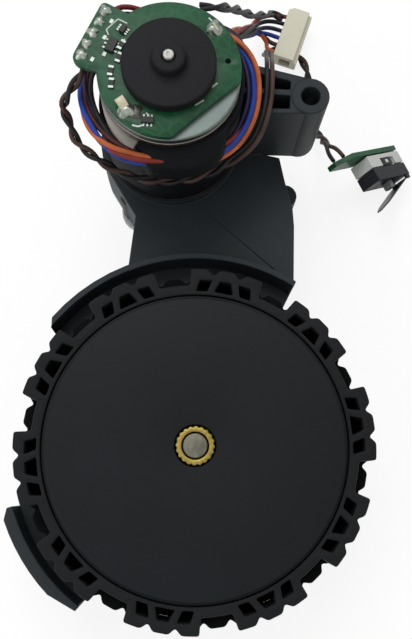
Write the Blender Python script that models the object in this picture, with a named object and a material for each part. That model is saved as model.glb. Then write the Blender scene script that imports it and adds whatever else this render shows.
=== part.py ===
"""Wheel module of a robot vacuum: a treaded drive wheel on a swing arm that holds the gear train,
with the motor, its encoder board, the wires and the wheel-drop micro switch.

It lies on the back of its gearbox. The origin is on that back face, on the wheel's axis, with +Z
along the axis towards the wheel's front disc and +Y roughly along the arm, towards the motor.
"""

import bpy
import bmesh
from math import atan2, cos, pi, radians, sin, tau
from mathutils import Matrix, Vector

MM = 0.001

# Clearances
SEAT_GAP = 0.3 * MM
FIT_GAP = 0.2 * MM

# How far a cutter runs past the face that it opens
OVERSHOOT = 1.0 * MM

# Gearbox shells, from the back face up
COVER_PLATE = 2.0 * MM
CHAMBER_DEPTH = 11.0 * MM
ROOF_WALL = 2.0 * MM
SHELL_WALL = 2.0 * MM
ARM_RISE = 3.0 * MM
ARCH_RISE = 8.0 * MM
CHAMBER_ROOF = COVER_PLATE + CHAMBER_DEPTH
WELL_FLOOR = CHAMBER_ROOF + ROOF_WALL
ARM_TOP = WELL_FLOOR + ARM_RISE
ARCH_TOP = WELL_FLOOR + ARCH_RISE

# Wheel, seen from outside in
TYRE_RADIUS = 36.0 * MM
TYRE_WIDTH = 17.0 * MM
TYRE_GAP = 2.0 * MM
TREAD_DEPTH = 3.4 * MM
NOTCH_DEPTH = 1.3 * MM
TREAD_GROUPS = 10
TREAD_OFFSET = 10.3
TYRE_BAND = 2.2 * MM
HOLE_WALL = 1.0 * MM
HOLE_DEPTH = 7.5 * MM
RIM_WALL = 2.0 * MM
DISC_STEP = 0.6 * MM
DISC_WALL = 2.2 * MM
DISC_RISE = 1.0 * MM
DISC_BEVEL = 0.5 * MM
HUB_RADIUS = 6.5 * MM
HUB_RIBS = 6
RIB_WALL = 1.4 * MM
RIB_SETBACK = 2.0 * MM
INSERT_RADIUS = 3.95 * MM
INSERT_LENGTH = 8.0 * MM
INSERT_RISE = 0.7 * MM
KNURLS = 20
KNURL_DEPTH = 0.25 * MM
SHAFT_RADIUS = 2.5 * MM
SHAFT_FLAT = 0.45 * MM
SHAFT_DROP = 0.4 * MM
RIM_RADIUS = TYRE_RADIUS - TREAD_DEPTH - TYRE_BAND
DISC_RADIUS = RIM_RADIUS - DISC_STEP
TYRE_BACK = WELL_FLOOR + TYRE_GAP
TYRE_FRONT = TYRE_BACK + TYRE_WIDTH
DISC_FRONT = TYRE_FRONT + DISC_RISE
WHEEL_SIDES = 40

# Wheel well and arches: the upper arch on the arm, the lower one by itself
WELL_INSET = 2.0 * MM
WELL_RADIUS = TYRE_RADIUS - WELL_INSET
ARCH_WALL = 1.4 * MM
UPPER_ARCH_CLEARANCE = 3.0 * MM
UPPER_ARCH_RADIUS = TYRE_RADIUS + UPPER_ARCH_CLEARANCE + ARCH_WALL
UPPER_ARCH_CENTRE = (0.15 * MM, 2.0 * MM)
UPPER_ARCH_START = 60.2
UPPER_ARCH_ARM = 115.0
UPPER_ARCH_END = 145.6
ARCH_CHAMFER = 2.6
LOWER_ARCH_WALL = 2.6 * MM
LOWER_ARCH_CLEARANCE = 3.4 * MM
LOWER_ARCH_RADIUS = TYRE_RADIUS + LOWER_ARCH_CLEARANCE + LOWER_ARCH_WALL
LOWER_ARCH_START = 200.3
LOWER_ARCH_END = 236.4
LOWER_ARCH_TIP = LOWER_ARCH_WALL / 2
LOWER_ARCH_TAPER = (3.0, 9.0)
ARM_SHELF = 8.4 * MM

# Gear train: module and teeth of each stage, from the motor to the wheel
STAGE_MODULES = (0.5 * MM, 0.6 * MM, 0.7 * MM, 0.8 * MM)
PINION_TEETH = (14, 14, 14, 15)
WHEEL_TEETH = (36, 40, 40, 44)
ADDENDUM = 0.88
DEDENDUM = 1.2
PRESSURE_ANGLE = radians(20)
BACKLASH = 0.1 * MM
CENTRE_SLACK = 0.03 * MM
LOWER_RUN_ANGLE = radians(88.5)
UPPER_RUN_ANGLE = radians(109.97)
PIN_RADIUS = 1.0 * MM
PIN_SEAT = 1.2 * MM
LAYER_GAP = 0.4 * MM
LOW_LAYER = (COVER_PLATE + 1.0 * MM, COVER_PLATE + 4.0 * MM)
MID_LAYER = (LOW_LAYER[1] + LAYER_GAP, LOW_LAYER[1] + LAYER_GAP + 2.2 * MM)
TOP_LAYER = (MID_LAYER[1] + LAYER_GAP, MID_LAYER[1] + LAYER_GAP + 3.0 * MM)
GEAR_OVERLAP = 0.5 * MM
OUTPUT_HUB_RADIUS = 5.0 * MM
BUSH_WALL = 1.4 * MM
BUSH_FLOOR = 0.6 * MM

# Motor
CAN_RADIUS = 13.85 * MM
CAN_LENGTH = 37.5 * MM
CAN_WALL = 1.0 * MM
CAN_CHAMFER = 0.8 * MM
BELL_WALL = 1.6 * MM
BELL_BOSS_RADIUS = 3.0 * MM
BELL_BOSS_RISE = 1.0 * MM
MOTOR_BOSS_RADIUS = 5.0 * MM
MOTOR_BOSS_RISE = 1.6 * MM
MOTOR_SHAFT_RADIUS = 1.05 * MM
SHAFT_TIP_RISE = 2.9 * MM
MOTOR_SCREW_SPREAD = 8.0 * MM
MOTOR_SCREW_LENGTH = 5.5 * MM
TAPPED_DEPTH = 3.0 * MM
FIELD_WALL = 2.2 * MM
FIELD_HALF_ANGLE = 65
FIELD_FROM_FLOOR = 5.0 * MM
FIELD_FROM_TOP = 7.0 * MM
AIR_GAP = 0.95 * MM
ARMATURE_RADIUS = CAN_RADIUS - CAN_WALL - SEAT_GAP - FIELD_WALL - AIR_GAP
ARMATURE_FROM_FLOOR = 7.0 * MM
ARMATURE_CORE = 0.55
ARMATURE_POLES = 3
ARMATURE_SLOT = 9
COMMUTATOR_RADIUS = 3.2 * MM
COMMUTATOR_LENGTH = 6.0 * MM
COMMUTATOR_DROP = 5.0 * MM
COMMUTATOR_GAP = 1.0 * MM
SEAT_RING_WALL = 1.05 * MM
SEAT_RING_RISE = 2.0 * MM
MOTOR_HOUSE_WALL = 2.15 * MM
TAPE_WALL = 0.4 * MM
TAPE_START = 2.0 * MM
TAPE_DROP = 0.9 * MM
CAN_BOTTOM = WELL_FLOOR + SEAT_GAP
BELL_TOP = CAN_BOTTOM + CAN_LENGTH
BELL_BOTTOM = BELL_TOP - BELL_WALL
CAN_TOP = BELL_BOTTOM - SEAT_GAP
MOTOR_HOUSE_RADIUS = CAN_RADIUS + SEAT_GAP + MOTOR_HOUSE_WALL
ROUND_SIDES = 32
SHAFT_SIDES = 16

# Encoder board and magnet
BOARD_THICKNESS = 1.2 * MM
BOARD_MARGIN = 0.05 * MM
BOARD_RADIUS = CAN_RADIUS - BOARD_MARGIN
BOARD_HOLE = 3.6 * MM
BOARD_BOTTOM = BELL_TOP + SEAT_GAP
BOARD_TOP = BOARD_BOTTOM + BOARD_THICKNESS
MAGNET_INSET = 4.8 * MM
MAGNET_RADIUS = BOARD_RADIUS - MAGNET_INSET
MAGNET_THICKNESS = 2.4 * MM
MAGNET_GAP = 0.6 * MM
MAGNET_HUB_RADIUS = 3.4 * MM
MAGNET_HUB_RISE = 2.2 * MM
MAGNET_BOTTOM = BOARD_TOP + MAGNET_GAP
TERMINAL_INSETS = (1.8 * MM, 2.2 * MM)
TERMINAL_ANGLES = (radians(47), radians(229))
TERMINAL_HOLE = 1.3 * MM
TERMINAL_RISE = 1.1 * MM
TERMINAL_BLADE = (0.9 * MM, 0.3 * MM)
PAD_RISE = 0.6 * MM
TAB_JOINTS = 5
JOINT_FOOT = 0.95 * MM
JOINT_TIP = 0.4 * MM
RESISTOR = (0.9 * MM, 0.5 * MM, 0.5 * MM)

# Pivot boss and its bracket
BOSS_FROM_MOTOR = (28.7 * MM, 2.3 * MM)
BOSS_RADIUS = 3.9 * MM
BOSS_BORE = 2.0 * MM
BOSS_TOP = 41.0 * MM
BOSS_BOTTOM = 16.5 * MM
BRACKET_WALL = 1.3 * MM
BRACKET_FLOOR = ARM_TOP
BRACKET_DROP = 0.4 * MM
BRACKET_REACH = 16.0 * MM
BRACKET_BELOW = 4.6 * MM

# Fasteners
SCREW_RADIUS = 1.1 * MM
SCREW_HEAD_RADIUS = 2.2 * MM
SCREW_HEAD = 1.1 * MM
SCREW_LENGTH = 9.0 * MM
SCREW_CHAMFER = 0.3 * MM
SCREW_BOSS_RADIUS = 2.6 * MM
SCREW_SIDES = 10
HOUSE_SCREW_INSET = 3.7 * MM
HOUSE_SCREW_TURN = radians(45)
WELL_SCREW_INSET = 5.7 * MM

# Wires
BUNDLE_RADIUS = 1.6 * MM
PAIR_RADIUS = 1.0 * MM
WIRE_SIDES = 2
POINT_SPACING = 4.0

# Connector housing
HOUSING_LENGTH = 13.8 * MM
HOUSING_WIDTH = 6.0 * MM
HOUSING_HEIGHT = 4.6 * MM
HOUSING_BOTTOM = 2 * PAIR_RADIUS + 0.4 * MM
HOUSING_CENTRE = (19.3 * MM, 104.0 * MM)
HOUSING_ANGLE = radians(74)
CONTACTS = 6
CONTACT_PITCH = 2.0 * MM
CONTACT_HOLE = 1.3 * MM
CONTACT_DEPTH = 4.5 * MM
HOUSING_STEP = 0.8 * MM

# Micro switch on its board: u along the switch, v across it, w from the board to the lever
SWITCH_LENGTH = 12.8 * MM
SWITCH_WIDTH = 5.8 * MM
SWITCH_HEIGHT = 6.5 * MM
SWITCH_BASE = 3.1 * MM
SWITCH_JOINT = 0.2 * MM
SWITCH_PLACE = (34.09 * MM, 69.06 * MM)
SWITCH_HEADING = radians(-60.67)
SWITCH_TILT = radians(37)
SWITCH_CLEARANCE = 0.07 * MM
SWITCH_BOARD = 1.2 * MM
SWITCH_BOARD_REACH = 8.1 * MM
LEVER_LENGTH = 15.2 * MM
LEVER_WIDTH = 3.6 * MM
LEVER_THICKNESS = 0.3 * MM
LEVER_TIP_WIDTH = 1.4 * MM
LEVER_OPEN = radians(22.8)
LEVER_PIVOT_INSET = 0.8 * MM
LEVER_PIVOT_RISE = 0.65 * MM
PLUNGER_LENGTH = 1.4 * MM
PLUNGER_WIDTH = 2.4 * MM
PLUNGER_RISE = 1.8 * MM
PLUNGER_REACH = 1.4 * MM
PLUNGER_TRAVEL = 1.2 * MM
PLUNGER_FROM_PIVOT = 5.5 * MM


def clear_scene():
    """Removes every object that the scene starts with."""
    for old in list(bpy.data.objects):
        bpy.data.objects.remove(old, do_unlink=True)


clear_scene()
MODULE = bpy.data.collections.new("robot_vacuum_wheel_module")
CUTTERS = bpy.data.collections.new("cutters")
bpy.context.scene.collection.children.link(MODULE)
bpy.context.scene.collection.children.link(CUTTERS)


def material(name, colour, roughness, metallic=0.0):
    """A Principled BSDF of one colour."""
    made = bpy.data.materials.new(name)
    made.use_nodes = True
    shader = made.node_tree.nodes["Principled BSDF"]
    shader.inputs["Base Color"].default_value = (*colour, 1.0)
    shader.inputs["Roughness"].default_value = roughness
    shader.inputs["Metallic"].default_value = metallic
    return made


BLACK = material("black_plastic", (0.02, 0.022, 0.025), 0.55)
PALE = material("pale_plastic", (0.42, 0.43, 0.44), 0.5)
RUBBER = material("rubber", (0.018, 0.018, 0.02), 0.8)
BRASS = material("brass", (0.72, 0.53, 0.24), 0.3, 1.0)
STEEL = material("steel", (0.6, 0.6, 0.6), 0.3, 1.0)
NYLON = material("nylon", (0.75, 0.74, 0.7), 0.5)
BOARD_GREEN = material("board_green", (0.01, 0.2, 0.06), 0.45)
MAGNET_BLACK = material("magnet_black", (0.03, 0.03, 0.033), 0.5)
TAPE_BLACK = material("tape_black", (0.015, 0.015, 0.016), 0.6)
WIRE_BROWN = material("wire_brown", (0.06, 0.03, 0.02), 0.5)
WIRE_BLUE = material("wire_blue", (0.02, 0.06, 0.4), 0.4)
WIRE_BLACK = material("wire_black", (0.02, 0.02, 0.02), 0.45)
SOLDER = material("solder", (0.6, 0.6, 0.58), 0.35, 1.0)
CHIP_BLACK = material("chip_black", (0.03, 0.03, 0.03), 0.5)
SWITCH_WHITE = material("switch_white", (0.62, 0.64, 0.62), 0.5)
IVORY = material("ivory", (0.75, 0.72, 0.6), 0.5)
COPPER = material("copper", (0.6, 0.3, 0.15), 0.35, 1.0)


# Outlines in the plane

def arc(centre, radius, start, end, steps):
    """Points on a circle from one angle to another, in degrees, both ends included."""
    angles = [radians(start + (end - start) * i / steps) for i in range(steps + 1)]
    return [(centre[0] + radius * cos(a), centre[1] + radius * sin(a)) for a in angles]


def ring_points(radius, count, centre=(0.0, 0.0)):
    """A whole circle of points."""
    return arc(centre, radius, 0, 360 - 360 / count, count - 1)


def inset(points, distance):
    """The outline moved inwards by one distance all along (anticlockwise outline)."""
    moved = []
    for i, point in enumerate(points):
        before = Vector(points[i - 1])
        here = Vector(point)
        after = Vector(points[(i + 1) % len(points)])
        first = (here - before).normalized()
        second = (after - here).normalized()
        first_normal = Vector((-first.y, first.x))
        second_normal = Vector((-second.y, second.x))
        shift = (first_normal + second_normal) / (1 + first_normal.dot(second_normal))
        moved.append(tuple(here + shift * distance))
    return moved


def step_from(point, distance, angle):
    """The point at a distance and an angle in radians from another."""
    return (point[0] + distance * cos(angle), point[1] + distance * sin(angle))


# Solids

def add_object(name, mesh, look, smooth=True):
    """Puts a mesh into the module as one named object."""
    made = bpy.data.objects.new(name, mesh)
    MODULE.objects.link(made)
    mesh.materials.clear()
    mesh.materials.append(look)
    if smooth:
        mesh.shade_smooth()
        mesh.set_sharp_from_angle(angle=radians(35))
    return made


def plate(name, outlines, bottom, top, look):
    """A flat outline, with any holes after it, filled and given its thickness."""
    curve = bpy.data.curves.new(name, "CURVE")
    curve.dimensions = "2D"
    curve.fill_mode = "BOTH"
    curve.extrude = (top - bottom) / 2
    for outline in outlines:
        spline = curve.splines.new("POLY")
        spline.points.add(len(outline) - 1)
        for point, (x, y) in zip(spline.points, outline):
            point.co = (x, y, 0.0, 1.0)
        spline.use_cyclic_u = True
    guide = bpy.data.objects.new(name + "_outline", curve)
    bpy.context.scene.collection.objects.link(guide)
    evaluated = guide.evaluated_get(bpy.context.evaluated_depsgraph_get())
    mesh = bpy.data.meshes.new_from_object(evaluated)
    bpy.data.objects.remove(guide, do_unlink=True)
    bpy.data.curves.remove(curve)
    shaped = bmesh.new()
    shaped.from_mesh(mesh)
    bmesh.ops.remove_doubles(shaped, verts=shaped.verts, dist=1e-6)
    bmesh.ops.translate(shaped, verts=shaped.verts, vec=(0, 0, (top + bottom) / 2))
    bmesh.ops.recalc_face_normals(shaped, faces=shaped.faces)
    shaped.to_mesh(mesh)
    shaped.free()
    return add_object(name, mesh, look)


def cylinder(name, centre, radius, bottom, top, look, sides=32, tip_radius=None):
    """A round bar, or a cone where the tip has its own radius."""
    mesh = bpy.data.meshes.new(name)
    shaped = bmesh.new()
    bmesh.ops.create_cone(
        shaped,
        cap_ends=True,
        segments=sides,
        radius1=radius,
        radius2=radius if tip_radius is None else tip_radius,
        depth=top - bottom,
        matrix=Matrix.Translation((centre[0], centre[1], (top + bottom) / 2)),
    )
    shaped.to_mesh(mesh)
    shaped.free()
    return add_object(name, mesh, look)


def block(name, low, high, look):
    """A box between two corners."""
    size = Vector(high) - Vector(low)
    middle = (Vector(high) + Vector(low)) / 2
    mesh = bpy.data.meshes.new(name)
    shaped = bmesh.new()
    bmesh.ops.create_cube(shaped, size=1.0, matrix=Matrix.Translation(middle) @ Matrix.Diagonal((*size, 1.0)))
    shaped.to_mesh(mesh)
    shaped.free()
    return add_object(name, mesh, look, smooth=False)


def turning(name, centre, profile, look, sides=32):
    """A turned shape: a closed profile of (radius, height) points, outer side first and downwards."""
    mesh = bpy.data.meshes.new(name)
    shaped = bmesh.new()
    corners = [shaped.verts.new((radius, 0.0, height)) for radius, height in profile]
    for i, corner in enumerate(corners):
        shaped.edges.new((corner, corners[(i + 1) % len(corners)]))
    bmesh.ops.spin(
        shaped,
        geom=shaped.verts[:] + shaped.edges[:],
        cent=(0, 0, 0),
        axis=(0, 0, 1),
        angle=tau,
        steps=sides,
        use_merge=True,
    )
    bmesh.ops.remove_doubles(shaped, verts=shaped.verts, dist=1e-6)
    bmesh.ops.recalc_face_normals(shaped, faces=shaped.faces)
    bmesh.ops.translate(shaped, verts=shaped.verts, vec=(centre[0], centre[1], 0))
    shaped.to_mesh(mesh)
    shaped.free()
    return add_object(name, mesh, look)


def sleeve(name, centre, inner, outer, bottom, top, look, sides=32):
    """A straight tube with flat ends."""
    profile = [(outer, top), (outer, bottom), (inner, bottom), (inner, top)]
    return turning(name, centre, profile, look, sides)


def combine(target, tool, operation):
    """Adds a Boolean modifier and puts the tool away with the cutters."""
    change = target.modifiers.new(operation.lower() + "_" + tool.name, "BOOLEAN")
    change.operation = operation
    change.solver = "EXACT"
    change.object = tool
    MODULE.objects.unlink(tool)
    CUTTERS.objects.link(tool)
    tool.hide_render = True
    tool.display_type = "WIRE"


def cut(target, *tools):
    """Takes each tool's shape out of the target."""
    for tool in tools:
        combine(target, tool, "DIFFERENCE")


def join(target, *tools):
    """Makes each tool's shape part of the target."""
    for tool in tools:
        combine(target, tool, "UNION")


def smooth_route(points, spacing):
    """Points on a smooth curve through a wire's own points, at an even spacing."""
    knots = [Vector(point) * MM for point in points]
    knots = [2 * knots[0] - knots[1]] + knots + [2 * knots[-1] - knots[-2]]
    dense = []
    for before, start, end, after in zip(knots, knots[1:], knots[2:], knots[3:]):
        for i in range(20):
            t = i / 20
            dense.append(
                0.5
                * (
                    2 * start
                    + (end - before) * t
                    + (2 * before - 5 * start + 4 * end - after) * t**2
                    + (3 * start - before - 3 * end + after) * t**3
                )
            )
    dense.append(knots[-2])
    lengths = [0.0]
    for start, end in zip(dense, dense[1:]):
        lengths.append(lengths[-1] + (end - start).length)
    count = max(2, round(lengths[-1] / spacing))
    route = []
    for i in range(count + 1):
        wanted = lengths[-1] * i / count
        j = max(k for k in range(len(dense) - 1) if lengths[k] <= wanted)
        share = (wanted - lengths[j]) / (lengths[j + 1] - lengths[j])
        route.append(dense[j].lerp(dense[j + 1], min(share, 1.0)))
    return route


def wire(name, points, radius, look):
    """A wire: a bevelled curve along a smooth route given in millimetres, with filled ends."""
    curve = bpy.data.curves.new(name, "CURVE")
    curve.dimensions = "3D"
    curve.bevel_depth = radius
    curve.bevel_resolution = WIRE_SIDES
    curve.use_fill_caps = True
    spline = curve.splines.new("POLY")
    route = smooth_route(points, POINT_SPACING * radius)
    spline.points.add(len(route) - 1)
    for point, place in zip(spline.points, route):
        point.co = (*place, 1.0)
    curve.materials.append(look)
    made = bpy.data.objects.new(name, curve)
    MODULE.objects.link(made)
    return made


# Gear train layout: the lower run leads from the wheel up the arm, the upper run on to the motor

def centre_distance(stage):
    """Distance between the two axes of a stage."""
    teeth = PINION_TEETH[stage] + WHEEL_TEETH[stage]
    return STAGE_MODULES[stage] * teeth / 2 + CENTRE_SLACK


WHEEL_AXIS = (0.0, 0.0)
GEAR_C_AXIS = step_from(WHEEL_AXIS, centre_distance(3), LOWER_RUN_ANGLE)
GEAR_B_AXIS = step_from(GEAR_C_AXIS, centre_distance(2), LOWER_RUN_ANGLE)
GEAR_A_AXIS = step_from(GEAR_B_AXIS, centre_distance(1), UPPER_RUN_ANGLE)
MOTOR_AXIS = step_from(GEAR_A_AXIS, centre_distance(0), UPPER_RUN_ANGLE)


def tip_radius(stage, teeth):
    """Radius over the teeth."""
    return STAGE_MODULES[stage] * (teeth / 2 + ADDENDUM)


def root_radius(stage, teeth):
    """Radius at the bottom of the teeth."""
    return STAGE_MODULES[stage] * (teeth / 2 - DEDENDUM)


def involute(angle):
    """The involute function of a pressure angle."""
    return sin(angle) / cos(angle) - angle


def gear_outline(centre, stage, teeth, tooth_at):
    """Teeth with straight flanks inside the involute, the first tooth centred on an angle."""
    size = STAGE_MODULES[stage]
    pitch = size * teeth / 2
    base = pitch * cos(PRESSURE_ANGLE)
    tip = tip_radius(stage, teeth)
    root = root_radius(stage, teeth)
    half_pitch_angle = (pi * size / 2 - BACKLASH) / (2 * pitch)
    at_base = half_pitch_angle + involute(PRESSURE_ANGLE)
    tip_pressure = atan2((tip**2 - base**2) ** 0.5, base)
    at_tip = at_base - involute(tip_pressure)
    at_root = at_base
    if root > base:
        at_root = at_base - involute(atan2((root**2 - base**2) ** 0.5, base))
    points = []
    for tooth in range(teeth):
        middle = tooth_at + tau * tooth / teeth
        for radius, offset in ((root, -at_root), (tip, -at_tip), (tip, at_tip), (root, at_root)):
            points.append(step_from(centre, radius, middle + offset))
    return points


def pinion_phase(direction):
    """A pinion has a tooth towards the gear that it drives."""
    return direction


def wheel_phase(direction, teeth):
    """A driven gear has a gap towards its pinion."""
    return direction + pi / teeth


def compound_gear(name, axis, big_stage, small_stage, big_layer, small_layer, back, forward):
    """A moulded gear pair on one bore: the big one is driven, the small one drives the next.

    back points to the pinion that drives it, forward to the gear that it drives.
    """
    big_teeth = WHEEL_TEETH[big_stage]
    small_teeth = PINION_TEETH[small_stage]
    big_outline = gear_outline(axis, big_stage, big_teeth, wheel_phase(back, big_teeth))
    small_outline = gear_outline(axis, small_stage, small_teeth, pinion_phase(forward))
    gear = plate(name, [big_outline], *big_layer, NYLON)
    small = plate(name + "_pinion", [small_outline], *small_layer, NYLON)
    low = min(big_layer[0], small_layer[0])
    high = max(big_layer[1], small_layer[1])
    neck_bottom = min(big_layer[1], small_layer[1]) - GEAR_OVERLAP
    neck_top = max(big_layer[0], small_layer[0]) + GEAR_OVERLAP
    neck_radius = root_radius(small_stage, small_teeth)
    neck = cylinder(name + "_neck", axis, neck_radius, neck_bottom, neck_top, NYLON, 12)
    hole_radius = PIN_RADIUS + FIT_GAP
    bore = cylinder(name + "_bore", axis, hole_radius, low - OVERSHOOT, high + OVERSHOOT, NYLON, SCREW_SIDES)
    join(gear, neck, small)
    cut(gear, bore)
    return gear


# Gearbox shells

BOSS_CENTRE = (MOTOR_AXIS[0] + BOSS_FROM_MOTOR[0], MOTOR_AXIS[1] + BOSS_FROM_MOTOR[1])
EAR_CENTRE = (-15.9 * MM, GEAR_A_AXIS[1] - 0.3 * MM)
EAR_RADIUS = 4.65 * MM
BULGE_CENTRE = (18.0 * MM, GEAR_A_AXIS[1] + 1.7 * MM)
BULGE_RADIUS = 2.75 * MM
BULGE_TOP = WELL_FLOOR - 1.5 * MM
SCREW_PLACES = (
    (EAR_CENTRE[0] - 1.7 * MM, EAR_CENTRE[1]),
    BULGE_CENTRE,
    step_from(MOTOR_AXIS, MOTOR_HOUSE_RADIUS - HOUSE_SCREW_INSET, UPPER_RUN_ANGLE + HOUSE_SCREW_TURN),
    step_from(MOTOR_AXIS, MOTOR_HOUSE_RADIUS - HOUSE_SCREW_INSET, UPPER_RUN_ANGLE - HOUSE_SCREW_TURN),
    step_from(WHEEL_AXIS, WELL_RADIUS - WELL_SCREW_INSET, radians(200)),
    step_from(WHEEL_AXIS, WELL_RADIUS - WELL_SCREW_INSET, radians(335)),
)
PIN_AXES = (("a", GEAR_A_AXIS), ("b", GEAR_B_AXIS), ("c", GEAR_C_AXIS))


def arm_sides():
    """The arm's edges, from the arch's right end up, round the motor's house, and down the left."""
    shelf = MOTOR_AXIS[0] + MOTOR_HOUSE_RADIUS + ARM_SHELF
    right = [
        (shelf + 3.9 * MM, GEAR_B_AXIS[1] + 8.5 * MM),
        (shelf + 3.4 * MM, GEAR_A_AXIS[1] - 2.4 * MM),
        (shelf + 1.5 * MM, GEAR_A_AXIS[1] + 3.5 * MM),
        (shelf, MOTOR_AXIS[1] - 2.5 * MM),
    ]
    motor = arc(MOTOR_AXIS, MOTOR_HOUSE_RADIUS, -4, 206, 22)
    left = [(-16.0 * MM, GEAR_A_AXIS[1] - 6.4 * MM)]
    return right + motor + left


def shell_outline():
    """The whole gearbox seen from the front: well disc, both arches, arm and motor seat."""
    right_gap = arc(WHEEL_AXIS, WELL_RADIUS, LOWER_ARCH_END - 360, UPPER_ARCH_START, 24)
    arch_right = arc(UPPER_ARCH_CENTRE, UPPER_ARCH_RADIUS, UPPER_ARCH_START, UPPER_ARCH_START, 1)[:1]
    arch_left = arc(UPPER_ARCH_CENTRE, UPPER_ARCH_RADIUS, UPPER_ARCH_ARM, UPPER_ARCH_END - ARCH_CHAMFER, 5)
    chamfer = step_from(UPPER_ARCH_CENTRE, UPPER_ARCH_RADIUS - ARCH_WALL, radians(UPPER_ARCH_END))
    left_gap = arc(WHEEL_AXIS, WELL_RADIUS, UPPER_ARCH_END + 1, LOWER_ARCH_START, 8)
    thick_start = LOWER_ARCH_START + LOWER_ARCH_TAPER[0]
    thick_end = LOWER_ARCH_END - LOWER_ARCH_TAPER[1]
    tip_radius = LOWER_ARCH_RADIUS - LOWER_ARCH_TIP
    lower_arch = [
        step_from(WHEEL_AXIS, tip_radius, radians(LOWER_ARCH_START)),
        *arc(WHEEL_AXIS, LOWER_ARCH_RADIUS, thick_start, thick_end, 6),
        step_from(WHEEL_AXIS, tip_radius, radians(LOWER_ARCH_END)),
    ]
    return right_gap + arch_right + arm_sides() + arch_left + [chamfer] + left_gap + lower_arch


def well_space():
    """What the wheel needs: everything inside the two arches' inner faces."""
    upper = arc(UPPER_ARCH_CENTRE, UPPER_ARCH_RADIUS - ARCH_WALL, 20, 160, 32)
    lower = arc(WHEEL_AXIS, LOWER_ARCH_RADIUS - LOWER_ARCH_WALL, 175, 290, 26)
    corner = (LOWER_ARCH_RADIUS, -LOWER_ARCH_RADIUS / 2)
    return plate("well_space", [upper + lower + [corner]], WELL_FLOOR, ARCH_TOP + 5 * OVERSHOOT, BLACK)


def space_above_arm():
    """Everything above the arm, up to the upper arch's outer face."""
    far = 2 * MOTOR_AXIS[1]
    rim = arc(UPPER_ARCH_CENTRE, UPPER_ARCH_RADIUS, UPPER_ARCH_ARM + 0.5, UPPER_ARCH_START - 1.5, 16)
    outline = [(far, far), (-far, far), (-far, rim[0][1])] + rim + [(far, rim[-1][1])]
    return plate("space_above_arm", [outline], ARM_TOP, ARCH_TOP + 5 * OVERSHOOT, BLACK)


def bracket_outline():
    """The bracket from the motor's house to the pivot boss."""
    x, y = BOSS_CENTRE
    foot = x - BRACKET_REACH
    round_boss = arc(BOSS_CENTRE, BOSS_RADIUS - FIT_GAP, -95, 75, 8)
    upper_side = [(foot + 4.0 * MM, y + 6.4 * MM), (foot - 2.0 * MM, y + 7.7 * MM)]
    return [(foot, y - BRACKET_BELOW)] + round_boss + upper_side


def bracket_pockets():
    """The bracket's two deep pockets, parted by a thin rib that runs to the boss."""
    x, y = BOSS_CENTRE
    near = x - BOSS_RADIUS - SEAT_GAP
    far = x - BRACKET_REACH - OVERSHOOT
    rib_bottom = y + 0.7 * MM - BRACKET_WALL / 2
    rib_top = rib_bottom + BRACKET_WALL
    lower = [
        (far, y - BRACKET_BELOW + BRACKET_WALL),
        (near, y - 4.1 * MM + BRACKET_WALL),
        (near, rib_bottom),
        (far, rib_bottom),
    ]
    upper = [
        (far, rib_top),
        (near, rib_top),
        (near, y + 4.5 * MM - BRACKET_WALL),
        (far, y + 7.0 * MM - BRACKET_WALL),
    ]
    top = BOSS_TOP + OVERSHOOT
    return [
        plate("lower_pocket", [lower], BRACKET_FLOOR, top, BLACK),
        plate("upper_pocket", [upper], BRACKET_FLOOR, top, BLACK),
    ]


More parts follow.
